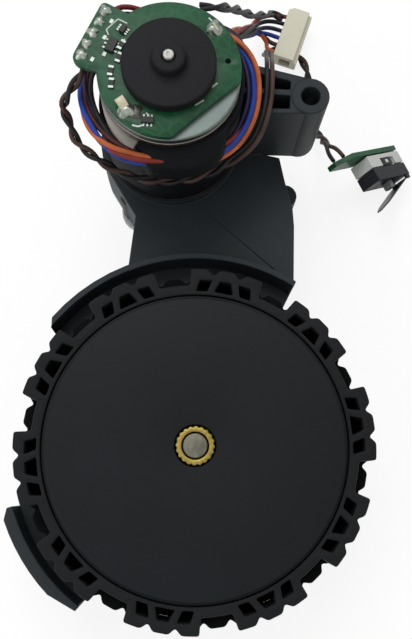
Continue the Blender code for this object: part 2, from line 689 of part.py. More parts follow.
def make_front():
    """The front shell: one moulding with the arm plate, well, arches, motor seat and pivot boss."""
    outline = shell_outline()
    bottom = COVER_PLATE + SEAT_GAP
    seat_top = ARM_TOP + SEAT_RING_RISE
    pocket_radius = CAN_RADIUS + SEAT_GAP
    front = plate("gearbox_front", [outline], bottom, ARCH_TOP, BLACK)
    cut(front, well_space(), space_above_arm())

    ring_bottom = WELL_FLOOR - OVERSHOOT
    ring_radius = pocket_radius + SEAT_RING_WALL
    seat_ring = cylinder("seat_ring", MOTOR_AXIS, ring_radius, ring_bottom, seat_top, BLACK, ROUND_SIDES)
    bulge = cylinder("bulge", BULGE_CENTRE, BULGE_RADIUS, bottom, BULGE_TOP, BLACK, 16)
    bracket_bottom = BOSS_BOTTOM + BRACKET_DROP
    bracket_top = BOSS_TOP - BRACKET_DROP
    bracket = plate("bracket", [bracket_outline()], bracket_bottom, bracket_top, BLACK)
    boss = cylinder("boss", BOSS_CENTRE, BOSS_RADIUS, BOSS_BOTTOM, BOSS_TOP, BLACK, 24)
    join(front, seat_ring, bulge, bracket, boss)

    room_top = BOSS_TOP + OVERSHOOT
    room_bottom = seat_top - OVERSHOOT / 2
    room_radius = CAN_RADIUS + TAPE_WALL + 3 * SEAT_GAP
    pocket = cylinder("motor_pocket", MOTOR_AXIS, pocket_radius, WELL_FLOOR, seat_top, BLACK, ROUND_SIDES)
    room = cylinder("motor_room", MOTOR_AXIS, room_radius, room_bottom, room_top, BLACK, ROUND_SIDES)
    pivot_bore = cylinder("pivot_bore", BOSS_CENTRE, BOSS_BORE, 0, room_top, BLACK, SHAFT_SIDES)
    cut(front, *bracket_pockets(), pocket, room, pivot_bore)

    chamber = plate("chamber", [inset(outline, SHELL_WALL)], 0, CHAMBER_ROOF, BLACK)
    cut(front, chamber)
    post_top = CHAMBER_ROOF + OVERSHOOT / 2
    for i, place in enumerate(SCREW_PLACES):
        join(front, cylinder(f"post_{i}", place, SCREW_BOSS_RADIUS, bottom, post_top, BLACK, SCREW_SIDES))
    pilot_radius = SCREW_RADIUS + FIT_GAP
    pilot_top = SCREW_LENGTH + SEAT_GAP
    for i, place in enumerate(SCREW_PLACES):
        cut(front, cylinder(f"pilot_{i}", place, pilot_radius, 0, pilot_top, BLACK, SCREW_SIDES))
    hole_radius = PIN_RADIUS + FIT_GAP
    hole_bottom = CHAMBER_ROOF - OVERSHOOT
    hole_top = CHAMBER_ROOF + PIN_SEAT
    for label, axis in PIN_AXES:
        pin_hole = cylinder(f"pin_hole_{label}", axis, hole_radius, hole_bottom, hole_top, BLACK, SCREW_SIDES)
        cut(front, pin_hole)
    bush_radius = SHAFT_RADIUS + BUSH_WALL + 2 * FIT_GAP
    boss_hole_radius = MOTOR_BOSS_RADIUS + SEAT_GAP
    way_top = WELL_FLOOR + OVERSHOOT
    bush_hole = cylinder("bush_hole", WHEEL_AXIS, bush_radius, 0, way_top, BLACK, SHAFT_SIDES)
    motor_hole = cylinder("motor_hole", MOTOR_AXIS, boss_hole_radius, 0, way_top, BLACK, SHAFT_SIDES)
    cut(front, bush_hole, motor_hole)
    for i, place in enumerate(motor_screw_places()):
        way = cylinder(f"motor_way_{i}", place, pilot_radius, hole_bottom, way_top, BLACK, SCREW_SIDES)
        cut(front, way)
    return front


def motor_screw_places():
    """The motor's two fixing screws, either side of its shaft."""
    return [step_from(MOTOR_AXIS, MOTOR_SCREW_SPREAD, UPPER_RUN_ANGLE + side) for side in (pi / 2, -pi / 2)]


def make_cover():
    """The back cover: a plate on the front shell's outline with an ear and the pins' seats."""
    cover = plate("gearbox_cover", [shell_outline()], 0, COVER_PLATE, PALE)
    ear = cylinder("ear", EAR_CENTRE, EAR_RADIUS, 0, COVER_PLATE, PALE, 20)
    bulge = cylinder("cover_bulge", BULGE_CENTRE, BULGE_RADIUS, 0, COVER_PLATE, PALE, 16)
    boss_radius = SHAFT_RADIUS + 2 * BUSH_WALL
    boss_bottom = COVER_PLATE - OVERSHOOT
    boss_top = LOW_LAYER[0] - SEAT_GAP
    back_boss = cylinder("back_boss", WHEEL_AXIS, boss_radius, boss_bottom, boss_top, PALE, SHAFT_SIDES)
    join(cover, ear, bulge, back_boss)
    seat_radius = SHAFT_RADIUS + BUSH_WALL + 2 * FIT_GAP
    cut(cover, cylinder("bush_seat", WHEEL_AXIS, seat_radius, BUSH_FLOOR, LOW_LAYER[0], PALE, SHAFT_SIDES))
    for label, axis in PIN_AXES:
        hole_radius = PIN_RADIUS + FIT_GAP
        hole_bottom = COVER_PLATE - PIN_SEAT
        seat = cylinder(
            f"pin_seat_{label}", axis, hole_radius, hole_bottom, COVER_PLATE + OVERSHOOT, PALE, SCREW_SIDES
        )
        cut(cover, seat)
    for i, place in enumerate(SCREW_PLACES):
        room_radius = SCREW_HEAD_RADIUS + SEAT_GAP
        room_top = SCREW_HEAD + SEAT_GAP
        way_radius = SCREW_RADIUS + FIT_GAP
        head_room = cylinder(f"head_room_{i}", place, room_radius, -OVERSHOOT, room_top, PALE, SCREW_SIDES)
        way = cylinder(f"screw_way_{i}", place, way_radius, 0, COVER_PLATE + OVERSHOOT, PALE, SCREW_SIDES)
        cut(cover, head_room, way)
    return cover


def make_gear_pins():
    """The gears' three fixed pins, seated in the cover and in the chamber's roof."""
    for label, axis in PIN_AXES:
        bottom = COVER_PLATE - PIN_SEAT + SEAT_GAP
        top = CHAMBER_ROOF + PIN_SEAT - SEAT_GAP
        cylinder(f"gear_pin_{label}", axis, PIN_RADIUS, bottom, top, STEEL, SCREW_SIDES)


def screw(name, place, head_bottom, length):
    """A pan head screw pointing up, its head at the bottom."""
    head_top = head_bottom + SCREW_HEAD
    profile = [
        (SCREW_RADIUS, head_bottom + length),
        (SCREW_RADIUS, head_top),
        (SCREW_HEAD_RADIUS, head_top),
        (SCREW_HEAD_RADIUS, head_bottom + SCREW_CHAMFER),
        (SCREW_HEAD_RADIUS - SCREW_CHAMFER, head_bottom),
        (0.0, head_bottom),
        (0.0, head_bottom + length),
    ]
    return turning(name, place, profile, STEEL, SCREW_SIDES)


# Wheel

def tread_outline(rotation):
    """One row of the tread: ten groups, each with a centre lug between two side lugs."""
    tip = TYRE_RADIUS
    notch = TYRE_RADIUS - NOTCH_DEPTH
    valley = TYRE_RADIUS - TREAD_DEPTH
    group = (
        (-12.6, valley),
        (-11.9, tip),
        (-6.4, tip),
        (-4.4, notch),
        (-2.4, tip),
        (2.4, tip),
        (4.4, notch),
        (6.4, tip),
        (11.9, tip),
        (12.6, valley),
        (18.0, valley),
    )
    points = []
    for i in range(TREAD_GROUPS):
        middle = rotation + 360 / TREAD_GROUPS * i
        for angle, radius in group:
            points.append(step_from(WHEEL_AXIS, radius, radians(middle + angle)))
    return points


def hole_outlines(rotation):
    """Three holes under each tread group, parted by slanting ribs."""
    inner_radius = RIM_RADIUS + HOLE_WALL
    outer_radius = TYRE_RADIUS - NOTCH_DEPTH - HOLE_WALL
    shapes = (
        ((-10.3, -6.2), (-9.0, -4.7)),
        ((-3.5, 3.5), (-1.9, 1.9)),
        ((6.2, 10.3), (4.7, 9.0)),
    )
    outlines = []
    for i in range(TREAD_GROUPS):
        middle = rotation + 360 / TREAD_GROUPS * i
        for inner, outer in shapes:
            outlines.append(
                [
                    step_from(WHEEL_AXIS, inner_radius, radians(middle + inner[0])),
                    step_from(WHEEL_AXIS, inner_radius, radians(middle + inner[1])),
                    step_from(WHEEL_AXIS, outer_radius, radians(middle + outer[1])),
                    step_from(WHEEL_AXIS, outer_radius, radians(middle + outer[0])),
                ]
            )
    return outlines


def make_tyre():
    """The tyre: two rows of tread groups, half a pitch apart, with holes open at each face."""
    middle = (TYRE_BACK + TYRE_FRONT) / 2
    web = TYRE_WIDTH / 2 - HOLE_DEPTH
    bore = ring_points(RIM_RADIUS + FIT_GAP, WHEEL_SIDES)
    half_pitch = 180 / TREAD_GROUPS
    front_row = plate("tyre", [tread_outline(TREAD_OFFSET), bore], middle, TYRE_FRONT, RUBBER)
    back_row = plate(
        "back_row", [tread_outline(TREAD_OFFSET + half_pitch), bore], TYRE_BACK, middle, RUBBER
    )
    join(front_row, back_row)
    front_outlines = hole_outlines(TREAD_OFFSET)
    back_outlines = hole_outlines(TREAD_OFFSET + half_pitch)
    front_holes = stacked_holes("front_holes", front_outlines, middle + web, TYRE_FRONT + OVERSHOOT)
    back_holes = stacked_holes("back_holes", back_outlines, TYRE_BACK - OVERSHOOT, middle - web)
    cut(front_row, front_holes, back_holes)
    return front_row


def stacked_holes(name, outlines, bottom, top):
    """One cutter made of many separate prisms."""
    mesh = bpy.data.meshes.new(name)
    shaped = bmesh.new()
    for outline in outlines:
        face = shaped.faces.new([shaped.verts.new((x, y, bottom)) for x, y in outline])
        risen = bmesh.ops.extrude_face_region(shaped, geom=[face])
        lifted = [item for item in risen["geom"] if isinstance(item, bmesh.types.BMVert)]
        bmesh.ops.translate(shaped, verts=lifted, vec=(0, 0, top - bottom))
    bmesh.ops.recalc_face_normals(shaped, faces=shaped.faces)
    shaped.to_mesh(mesh)
    shaped.free()
    return add_object(name, mesh, RUBBER)


def make_wheel_hub():
    """The moulded wheel: front disc, rim under the tyre, hub tube and ribs between them."""
    disc_back = DISC_FRONT - DISC_WALL
    rim_back = TYRE_BACK + SEAT_GAP
    shelf = TYRE_FRONT - DISC_BEVEL
    profile = [
        (DISC_RADIUS - DISC_BEVEL, DISC_FRONT),
        (DISC_RADIUS, DISC_FRONT - DISC_BEVEL),
        (DISC_RADIUS, shelf),
        (RIM_RADIUS, shelf),
        (RIM_RADIUS, rim_back),
        (RIM_RADIUS - RIM_WALL, rim_back),
        (RIM_RADIUS - RIM_WALL, disc_back),
        (HUB_RADIUS, disc_back),
        (HUB_RADIUS, rim_back),
        (SHAFT_RADIUS + FIT_GAP, rim_back),
        (SHAFT_RADIUS + FIT_GAP, DISC_FRONT - INSERT_LENGTH),
        (INSERT_RADIUS + FIT_GAP, DISC_FRONT - INSERT_LENGTH),
        (INSERT_RADIUS + FIT_GAP, DISC_FRONT),
    ]
    hub = turning("wheel_hub", WHEEL_AXIS, profile, BLACK, WHEEL_SIDES)
    overlap = 0.6 * MM
    for i in range(HUB_RIBS):
        low = (HUB_RADIUS - overlap, -RIB_WALL / 2, rim_back + RIB_SETBACK)
        high = (RIM_RADIUS - RIM_WALL + overlap, RIB_WALL / 2, disc_back + overlap)
        rib = block(f"hub_rib_{i}", low, high, BLACK)
        rib.data.transform(Matrix.Rotation(tau * i / HUB_RIBS, 4, "Z"))
        join(hub, rib)
    return hub


def make_insert():
    """The brass insert: knurled outside, with a plain hole for the shaft's end."""
    outline = []
    for i in range(KNURLS * 2):
        radius = INSERT_RADIUS if i % 2 else INSERT_RADIUS - KNURL_DEPTH
        outline.append(step_from(WHEEL_AXIS, radius, pi * i / KNURLS))
    hole = ring_points(SHAFT_RADIUS + FIT_GAP, SHAFT_SIDES)
    bottom = DISC_FRONT - INSERT_LENGTH + SEAT_GAP
    return plate("hub_insert", [outline, hole], bottom, DISC_FRONT + INSERT_RISE, BRASS)


def make_output_shaft():
    """The wheel's shaft, with a flat that drives the gear and the wheel."""
    bottom = BUSH_FLOOR + 0.5 * MM
    top = DISC_FRONT + INSERT_RISE - SHAFT_DROP
    shaft = cylinder("output_shaft", WHEEL_AXIS, SHAFT_RADIUS, bottom, top, STEEL, SHAFT_SIDES)
    low = (SHAFT_RADIUS - SHAFT_FLAT, -SHAFT_RADIUS, TYRE_BACK)
    high = (SHAFT_RADIUS + OVERSHOOT, SHAFT_RADIUS, DISC_FRONT - INSERT_LENGTH)
    cut(shaft, block("shaft_flat", low, high, STEEL))
    return shaft


def make_output_gear():
    """The last gear, with a hub that carries it up to the front bush."""
    teeth = WHEEL_TEETH[3]
    outline = gear_outline(WHEEL_AXIS, 3, teeth, wheel_phase(LOWER_RUN_ANGLE, teeth))
    gear = plate("output_gear", [outline], *LOW_LAYER, NYLON)
    hub_bottom = LOW_LAYER[1] - GEAR_OVERLAP
    hub_top = TOP_LAYER[1]
    hub = cylinder("output_gear_hub", WHEEL_AXIS, OUTPUT_HUB_RADIUS, hub_bottom, hub_top, NYLON, SHAFT_SIDES)
    bore = cylinder("output_gear_bore", WHEEL_AXIS, SHAFT_RADIUS + FIT_GAP, 0, ARM_TOP, NYLON, SHAFT_SIDES)
    join(gear, hub)
    cut(gear, bore)
    return gear


def make_bushes():
    """The shaft's two plain bushes, in the well's floor and in the cover."""
    inner = SHAFT_RADIUS + FIT_GAP
    outer = inner + BUSH_WALL
    front_bottom = TOP_LAYER[1] + SEAT_GAP
    front_top = WELL_FLOOR + OVERSHOOT
    back_bottom = BUSH_FLOOR + SEAT_GAP
    back_top = LOW_LAYER[0] - SEAT_GAP
    sleeve("output_bush_front", WHEEL_AXIS, inner, outer, front_bottom, front_top, BRASS, SHAFT_SIDES)
    sleeve("output_bush_back", WHEEL_AXIS, inner, outer, back_bottom, back_top, BRASS, SHAFT_SIDES)


# Motor

def make_motor_can():
    """The drawn can with its front boss and two tapped holes."""
    boss_bottom = CAN_BOTTOM - MOTOR_BOSS_RISE
    shaft_hole = MOTOR_SHAFT_RADIUS + FIT_GAP
    profile = [
        (CAN_RADIUS, CAN_TOP),
        (CAN_RADIUS, CAN_BOTTOM + CAN_CHAMFER),
        (CAN_RADIUS - CAN_CHAMFER, CAN_BOTTOM),
        (MOTOR_BOSS_RADIUS, CAN_BOTTOM),
        (MOTOR_BOSS_RADIUS, boss_bottom),
        (shaft_hole, boss_bottom),
        (shaft_hole, CAN_BOTTOM + CAN_WALL),
        (CAN_RADIUS - CAN_WALL, CAN_BOTTOM + CAN_WALL),
        (CAN_RADIUS - CAN_WALL, CAN_TOP),
    ]
    can = turning("motor_can", MOTOR_AXIS, profile, STEEL, ROUND_SIDES)
    radius = SCREW_RADIUS + FIT_GAP
    low = CAN_BOTTOM - OVERSHOOT
    high = CAN_BOTTOM + TAPPED_DEPTH
    for i, place in enumerate(motor_screw_places()):
        cut(can, cylinder(f"tapped_hole_{i}", place, radius, low, high, STEEL, SCREW_SIDES))
    return can


def make_end_bell():
    """The end bell that closes the can, with the rear bearing's boss."""
    shaft_hole = MOTOR_SHAFT_RADIUS + FIT_GAP
    profile = [
        (BELL_BOSS_RADIUS, BELL_TOP + BELL_BOSS_RISE),
        (BELL_BOSS_RADIUS, BELL_TOP),
        (CAN_RADIUS - CAN_CHAMFER / 2, BELL_TOP),
        (CAN_RADIUS, BELL_TOP - CAN_CHAMFER / 2),
        (CAN_RADIUS, BELL_BOTTOM),
        (shaft_hole, BELL_BOTTOM),
        (shaft_hole, BELL_TOP + BELL_BOSS_RISE),
    ]
    return turning("motor_end_bell", MOTOR_AXIS, profile, STEEL, ROUND_SIDES)


def make_field_magnets():
    """Two curved magnets inside the can."""
    outer = CAN_RADIUS - CAN_WALL - SEAT_GAP
    bottom = CAN_BOTTOM + FIELD_FROM_FLOOR
    top = CAN_TOP - FIELD_FROM_TOP
    for side, middle in (("left", 180), ("right", 0)):
        start = middle - FIELD_HALF_ANGLE
        end = middle + FIELD_HALF_ANGLE
        outline = arc(MOTOR_AXIS, outer, start, end, 8) + arc(MOTOR_AXIS, outer - FIELD_WALL, end, start, 8)
        plate(f"field_magnet_{side}", [outline], bottom, top, MAGNET_BLACK)


def make_motor_fixings():
    """The two screws that hold the motor to the well's floor, and the tape round the can."""
    head_bottom = CHAMBER_ROOF - SCREW_HEAD - SEAT_GAP
    for i, place in enumerate(motor_screw_places()):
        screw(f"motor_screw_{i + 1}", place, head_bottom, MOTOR_SCREW_LENGTH)
    inner = CAN_RADIUS + FIT_GAP
    bottom = ARM_TOP + SEAT_RING_RISE + TAPE_START
    top = CAN_TOP - TAPE_DROP
    sleeve("tape_wrap", MOTOR_AXIS, inner, inner + TAPE_WALL, bottom, top, TAPE_BLACK, ROUND_SIDES)


def make_rotor():
    """The rotor: shaft, armature, commutator, pinion and the encoder's magnet."""
    shaft_bottom = TOP_LAYER[0] - SEAT_GAP
    magnet_top = MAGNET_BOTTOM + MAGNET_THICKNESS
    shaft_top = magnet_top + SHAFT_TIP_RISE
    bore_radius = MOTOR_SHAFT_RADIUS + FIT_GAP
    cylinder("motor_shaft", MOTOR_AXIS, MOTOR_SHAFT_RADIUS, shaft_bottom, shaft_top, STEEL, SHAFT_SIDES)
    hole = ring_points(bore_radius, SHAFT_SIDES, MOTOR_AXIS)
    outline = []
    for i in range(ARMATURE_POLES):
        middle = 360 / ARMATURE_POLES * i
        reach = 180 / ARMATURE_POLES - ARMATURE_SLOT
        slot_end = middle + reach + 2 * ARMATURE_SLOT
        outline += arc(MOTOR_AXIS, ARMATURE_RADIUS, middle - reach, middle + reach, 6)
        outline += arc(MOTOR_AXIS, ARMATURE_RADIUS * ARMATURE_CORE, middle + reach, slot_end, 2)
    ring_top = BELL_TOP - COMMUTATOR_DROP
    ring_bottom = ring_top - COMMUTATOR_LENGTH
    armature_top = ring_bottom - COMMUTATOR_GAP
    plate("armature", [outline, hole], CAN_BOTTOM + ARMATURE_FROM_FLOOR, armature_top, COPPER)
    sleeve("commutator", MOTOR_AXIS, bore_radius, COMMUTATOR_RADIUS, ring_bottom, ring_top, COPPER, SHAFT_SIDES)
    pinion = gear_outline(MOTOR_AXIS, 0, PINION_TEETH[0], pinion_phase(UPPER_RUN_ANGLE + pi))
    plate("motor_pinion", [pinion, hole], *TOP_LAYER, BRASS)
    disc = ("encoder_magnet", MOTOR_AXIS, MAGNET_RADIUS, MAGNET_BOTTOM, magnet_top)
    magnet = cylinder(*disc, MAGNET_BLACK, ROUND_SIDES)
    hub_bottom = magnet_top - MAGNET_THICKNESS / 2
    hub_top = magnet_top + MAGNET_HUB_RISE
    hub = ("magnet_hub", MOTOR_AXIS, MAGNET_HUB_RADIUS, hub_bottom, hub_top)
    join(magnet, cylinder(*hub, MAGNET_BLACK, 20))
    bore = ("magnet_bore", MOTOR_AXIS, bore_radius, MAGNET_BOTTOM - OVERSHOOT, hub_top + OVERSHOOT)
    cut(magnet, cylinder(*bore, MAGNET_BLACK, SHAFT_SIDES))


# Encoder board

def board_point(beyond, angle):
    """A point of the board: millimetres beyond its round edge, or less than none inside it, and degrees."""
    return step_from(MOTOR_AXIS, BOARD_RADIUS + beyond * MM, radians(angle))


def board_outline():
    """The board: a disc with a straight cut at the lower right and a tab at the upper left."""
    disc = arc(MOTOR_AXIS, BOARD_RADIUS, -7, 128, 20)
    tab = [board_point(5.08, 135.6), board_point(4.85, 176.0), board_point(3.7, 181.3)]
    rest = arc(MOTOR_AXIS, BOARD_RADIUS, 186, 274, 14)
    return disc + tab + rest


def terminal_places():
    """Where the motor's two terminals come up through the board."""
    places = zip(TERMINAL_INSETS, TERMINAL_ANGLES)
    return [step_from(MOTOR_AXIS, BOARD_RADIUS - inset, angle) for inset, angle in places]


def make_board():
    """The encoder board on the motor's end bell, open round the shaft and at the terminals."""
    hole = ring_points(BOARD_HOLE, SHAFT_SIDES, MOTOR_AXIS)
    board = plate("encoder_board", [board_outline(), hole], BOARD_BOTTOM, BOARD_TOP, BOARD_GREEN)
    low = BOARD_BOTTOM - OVERSHOOT
    high = BOARD_TOP + OVERSHOOT
    for i, place in enumerate(terminal_places()):
        cut(board, cylinder(f"terminal_hole_{i}", place, TERMINAL_HOLE, low, high, BOARD_GREEN, SCREW_SIDES))
    add_solder(board)
    return board


def make_terminals():
    """The terminals: a blade up from the end bell, under a cone of solder on the board."""
    half_length, half_width = TERMINAL_BLADE
    solder_bottom = BOARD_TOP + SEAT_GAP
    solder_top = solder_bottom + PAD_RISE
    tip = TERMINAL_HOLE / 2
    for side, place in zip(("right", "left"), terminal_places()):
        low = (place[0] - half_length, place[1] - half_width, BELL_TOP + SEAT_GAP)
        high = (place[0] + half_length, place[1] + half_width, BOARD_TOP + TERMINAL_RISE)
        blade = block(f"motor_terminal_{side}", low, high, SOLDER)
        name = f"terminal_solder_{side}"
        cone = cylinder(name, place, TERMINAL_HOLE, solder_bottom, solder_top, SOLDER, SCREW_SIDES, tip)
        join(blade, cone)


def make_chips():
    """The board's three chips: a place as board_point takes it, half sizes and height in mm, and a turn."""
    chips = (
        (-1.99, 141.2, 0.8, 0.55, 0.7, 60),
        (-1.91, 160.3, 1.4, 0.9, 0.9, 70),
        (-2.57, 252.4, 1.2, 0.6, 0.7, 0),
    )
    for number, (beyond, angle, half_length, half_width, height, turn) in enumerate(chips, 1):
        low = (-half_length * MM, -half_width * MM, 0)
        high = (half_length * MM, half_width * MM, height * MM)
        chip = block(f"board_chip_{number}", low, high, CHIP_BLACK)
        chip.location = (*board_point(beyond, angle), BOARD_TOP + SEAT_GAP)
        chip.rotation_euler.z = radians(turn)


def add_solder(board):
    """Five solder joints along the tab's outer edge, and a row of small resistors, all set on the board."""
    first = Vector(board_point(3.18, 136.9))
    last = Vector(board_point(2.79, 174.1))
    sunk = BOARD_THICKNESS / 4
    top = BOARD_TOP + PAD_RISE
    for i in range(TAB_JOINTS):
        place = first.lerp(last, i / (TAB_JOINTS - 1))
        join(board, cylinder(f"joint_{i}", place, JOINT_FOOT, BOARD_TOP - sunk, top, SOLDER, 8, JOINT_TIP))
    half_length, half_width, height = RESISTOR
    resistors = ((1.17, 149.5, 60), (1.25, 160.6, 60), (-2.83, 186.3, 0), (-2.57, 197.6, 0))
    for i, (beyond, angle, turn) in enumerate(resistors):
        resistor = block(f"resistor_{i}", (-half_length, -half_width, -sunk), RESISTOR, SOLDER)
        place = Matrix.Translation((*board_point(beyond, angle), BOARD_TOP))
        resistor.data.transform(place @ Matrix.Rotation(radians(turn), 4, "Z"))
        join(board, resistor)


# Connector housing

def make_connector():
    """The wires' housing: a slim box with a stepped edge and a row of contact holes in its other edge."""
    half_length = HOUSING_LENGTH / 2
    half_width = HOUSING_WIDTH / 2
    step = HOUSING_STEP
    top = HOUSING_BOTTOM + HOUSING_HEIGHT
    outline = [
        (-half_length, -half_width),
        (half_length, -half_width),
        (half_length, half_width - 1.5 * step),
        (half_length - step, half_width),
        (-half_length, half_width),
    ]
    housing = plate("connector_housing", [outline], HOUSING_BOTTOM, top, IVORY)
    ledge = block(
        "ledge",
        (-half_length - step, -half_width - step, top - HOUSING_HEIGHT / 3),
        (half_length + step, -half_width + step, top + step),
        IVORY,
    )
    cut(housing, ledge)
    middle_height = (HOUSING_BOTTOM + top) / 2
    for i in range(CONTACTS):
        x = (i - (CONTACTS - 1) / 2) * CONTACT_PITCH
        low = (x - CONTACT_HOLE / 2, half_width - CONTACT_DEPTH, middle_height - CONTACT_HOLE / 2)
        high = (x + CONTACT_HOLE / 2, half_width + step, middle_height + CONTACT_HOLE / 2)
        cut(housing, block(f"contact_hole_{i}", low, high, IVORY))
    slot_low = (-half_length - step, -half_width + 2 * step, HOUSING_BOTTOM + step)
    slot_high = (-half_length + 2 * step, half_width - 2 * step, top - 1.5 * step)
    cut(housing, block("end_slot", slot_low, slot_high, IVORY))
    place = Matrix.Translation((*HOUSING_CENTRE, 0)) @ Matrix.Rotation(HOUSING_ANGLE, 4, "Z")
    housing.matrix_world = place
    for change in housing.modifiers:
        change.object.matrix_world = place
    return housing


# Micro switch

def switch_matrix():
    """From the switch's own axes to the world: tilted along its length, standing on its lower corner."""
    height = SWITCH_LENGTH * sin(SWITCH_TILT) + SWITCH_CLEARANCE
    turn = Matrix.Rotation(SWITCH_HEADING + pi / 2, 4, "Z") @ Matrix.Rotation(SWITCH_TILT, 4, "Y")
    return Matrix.Translation((*SWITCH_PLACE, height)) @ turn @ Matrix.Rotation(pi / 2, 4, "X")


def place_on_switch(target):
    """Moves an object, and what cuts or joins it, from the switch's own axes to its place."""
    target.matrix_world = switch_matrix()
    for change in target.modifiers:
        change.object.matrix_world = switch_matrix()
    return target


def make_switch_board():
    """The small board that carries the switch, with one corner cut away and two wire holes."""
    end = SWITCH_LENGTH - 0.2 * MM
    outline = [
        (-SWITCH_BOARD_REACH, 0.1 * MM),
        (end, 0.1 * MM),
        (end, SWITCH_WIDTH + 0.1 * MM),
        (-SWITCH_BOARD_REACH + 3.4 * MM, SWITCH_WIDTH + 0.1 * MM),
        (-SWITCH_BOARD_REACH, 2.6 * MM),
    ]
    top = -SEAT_GAP
    board = plate("switch_board", [outline], top - SWITCH_BOARD, top, BOARD_GREEN)
    return place_on_switch(board)


def make_switch_base():
    """The switch's white base, with a notch round the common pin in its upper side."""
    base = block("switch_base", (0, 0, 0), (SWITCH_LENGTH, SWITCH_WIDTH, SWITCH_BASE), SWITCH_WHITE)
    notch_low = (7.0 * MM, SWITCH_WIDTH - 0.8 * MM, 1.2 * MM)
    notch_high = (9.8 * MM, SWITCH_WIDTH + OVERSHOOT, SWITCH_BASE + OVERSHOOT)
    cut(base, block("base_notch", notch_low, notch_high, SWITCH_WHITE))
    return place_on_switch(base)


def plunger_span():
    """Where the plunger starts and ends along the switch."""
    middle = SWITCH_LENGTH - LEVER_PIVOT_INSET - PLUNGER_FROM_PIVOT
    return middle - PLUNGER_LENGTH / 2, middle + PLUNGER_LENGTH / 2


def make_switch_cover():
    """The black cover, with the plunger's slot and the lever's pivot lugs at one end."""
    low = SWITCH_BASE + SWITCH_JOINT
    cover = block("switch_cover", (0, 0, low), (SWITCH_LENGTH, SWITCH_WIDTH, SWITCH_HEIGHT), MAGNET_BLACK)
    start, end = plunger_span()
    half_width = PLUNGER_WIDTH / 2 + FIT_GAP
    middle = SWITCH_WIDTH / 2
    slot = block(
        "plunger_slot",
        (start - FIT_GAP, middle - half_width, SWITCH_HEIGHT - PLUNGER_REACH - PLUNGER_TRAVEL - FIT_GAP),
        (end + FIT_GAP, middle + half_width, SWITCH_HEIGHT + OVERSHOOT),
        MAGNET_BLACK,
    )
    lug_gap = LEVER_WIDTH / 2 + FIT_GAP
    lug_top = SWITCH_HEIGHT + LEVER_PIVOT_RISE + LEVER_THICKNESS
    lug_start = SWITCH_LENGTH - 2 * LEVER_PIVOT_INSET
    lug_sides = ((middle - lug_gap, SWITCH_JOINT), (middle + lug_gap, SWITCH_WIDTH - SWITCH_JOINT))
    for i, (near, far) in enumerate(lug_sides):
        lug_low = (lug_start, min(near, far), SWITCH_HEIGHT - 0.5 * MM)
        lug_high = (SWITCH_LENGTH - 0.1 * MM, max(near, far), lug_top)
        join(cover, block(f"pivot_lug_{i}", lug_low, lug_high, MAGNET_BLACK))
    cut(cover, slot)
    return place_on_switch(cover)


def make_switch_plunger():
    """The plunger that the lever presses, free in the cover's slot."""
    start, end = plunger_span()
    middle = SWITCH_WIDTH / 2
    low = (start, middle - PLUNGER_WIDTH / 2, SWITCH_HEIGHT - PLUNGER_REACH)
    high = (end, middle + PLUNGER_WIDTH / 2, SWITCH_HEIGHT + PLUNGER_RISE)
    return place_on_switch(block("switch_plunger", low, high, IVORY))


def make_switch_lever():
    """The lever: a thin strip with a pointed tip, open from its pivot between the lugs."""
    half = LEVER_WIDTH / 2
    tip = LEVER_TIP_WIDTH / 2
    outline = [
        (0.5 * MM, -half),
        (0.5 * MM, half),
        (-LEVER_LENGTH * 0.78, half),
        (-LEVER_LENGTH, tip),
        (-LEVER_LENGTH, -tip),
        (-LEVER_LENGTH * 0.78, -half),
    ]
    lever = plate("switch_lever", [outline], -LEVER_THICKNESS / 2, LEVER_THICKNESS / 2, STEEL)
    pivot = (SWITCH_LENGTH - LEVER_PIVOT_INSET, SWITCH_WIDTH / 2, SWITCH_HEIGHT + LEVER_PIVOT_RISE)
    lever.matrix_world = switch_matrix() @ Matrix.Translation(pivot) @ Matrix.Rotation(LEVER_OPEN, 4, "Y")
    return lever


# Wires: their routes in millimetres, from the connector or the board to where they end

BUNDLE_ROUTE = (
    (15.9, 105.0, 4.7), (13.1, 105.8, 4.8), (10.2, 104.8, 7.0), (8.2, 100.8, 13.0), (5.8, 95.6, 21.5),
    (2.8, 90.6, 29.0), (-1.5, 87.6, 33.6), (-7.2, 86.4, 36.2), (-13.1, 85.9, 37.6), (-18.4, 83.4, 39.4),
    (-23.3, 78.0, 42.2), (-25.5, 71.0, 44.6), (-24.6, 63.8, 46.2), (-20.7, 57.6, 47.4), (-14.5, 54.0, 47.4),
    (-7.2, 53.3, 46.6), (-0.3, 55.2, 45.6), (5.1, 59.9, 45.0), (7.9, 66.6, 45.4), (7.6, 74.0, 45.8),
    (4.2, 80.4, 45.2), (-1.6, 84.9, 43.6), (-8.7, 86.2, 44.4), (-16.1, 84.2, 47.2), (-20.6, 81.0, 49.6),
    (-23.8, 77.2, 51.1),
)
BOARD_PAIR_ROUTE = (
    (-3.6, 84.4, 51.2), (-0.6, 84.9, 50.6), (1.7, 87.3, 46.5), (4.7, 93.2, 35.5), (8.2, 99.1, 23.5),
    (12.0, 105.6, 12.5), (14.2, 109.9, 5.6), (16.8, 109.2, 4.7),
)
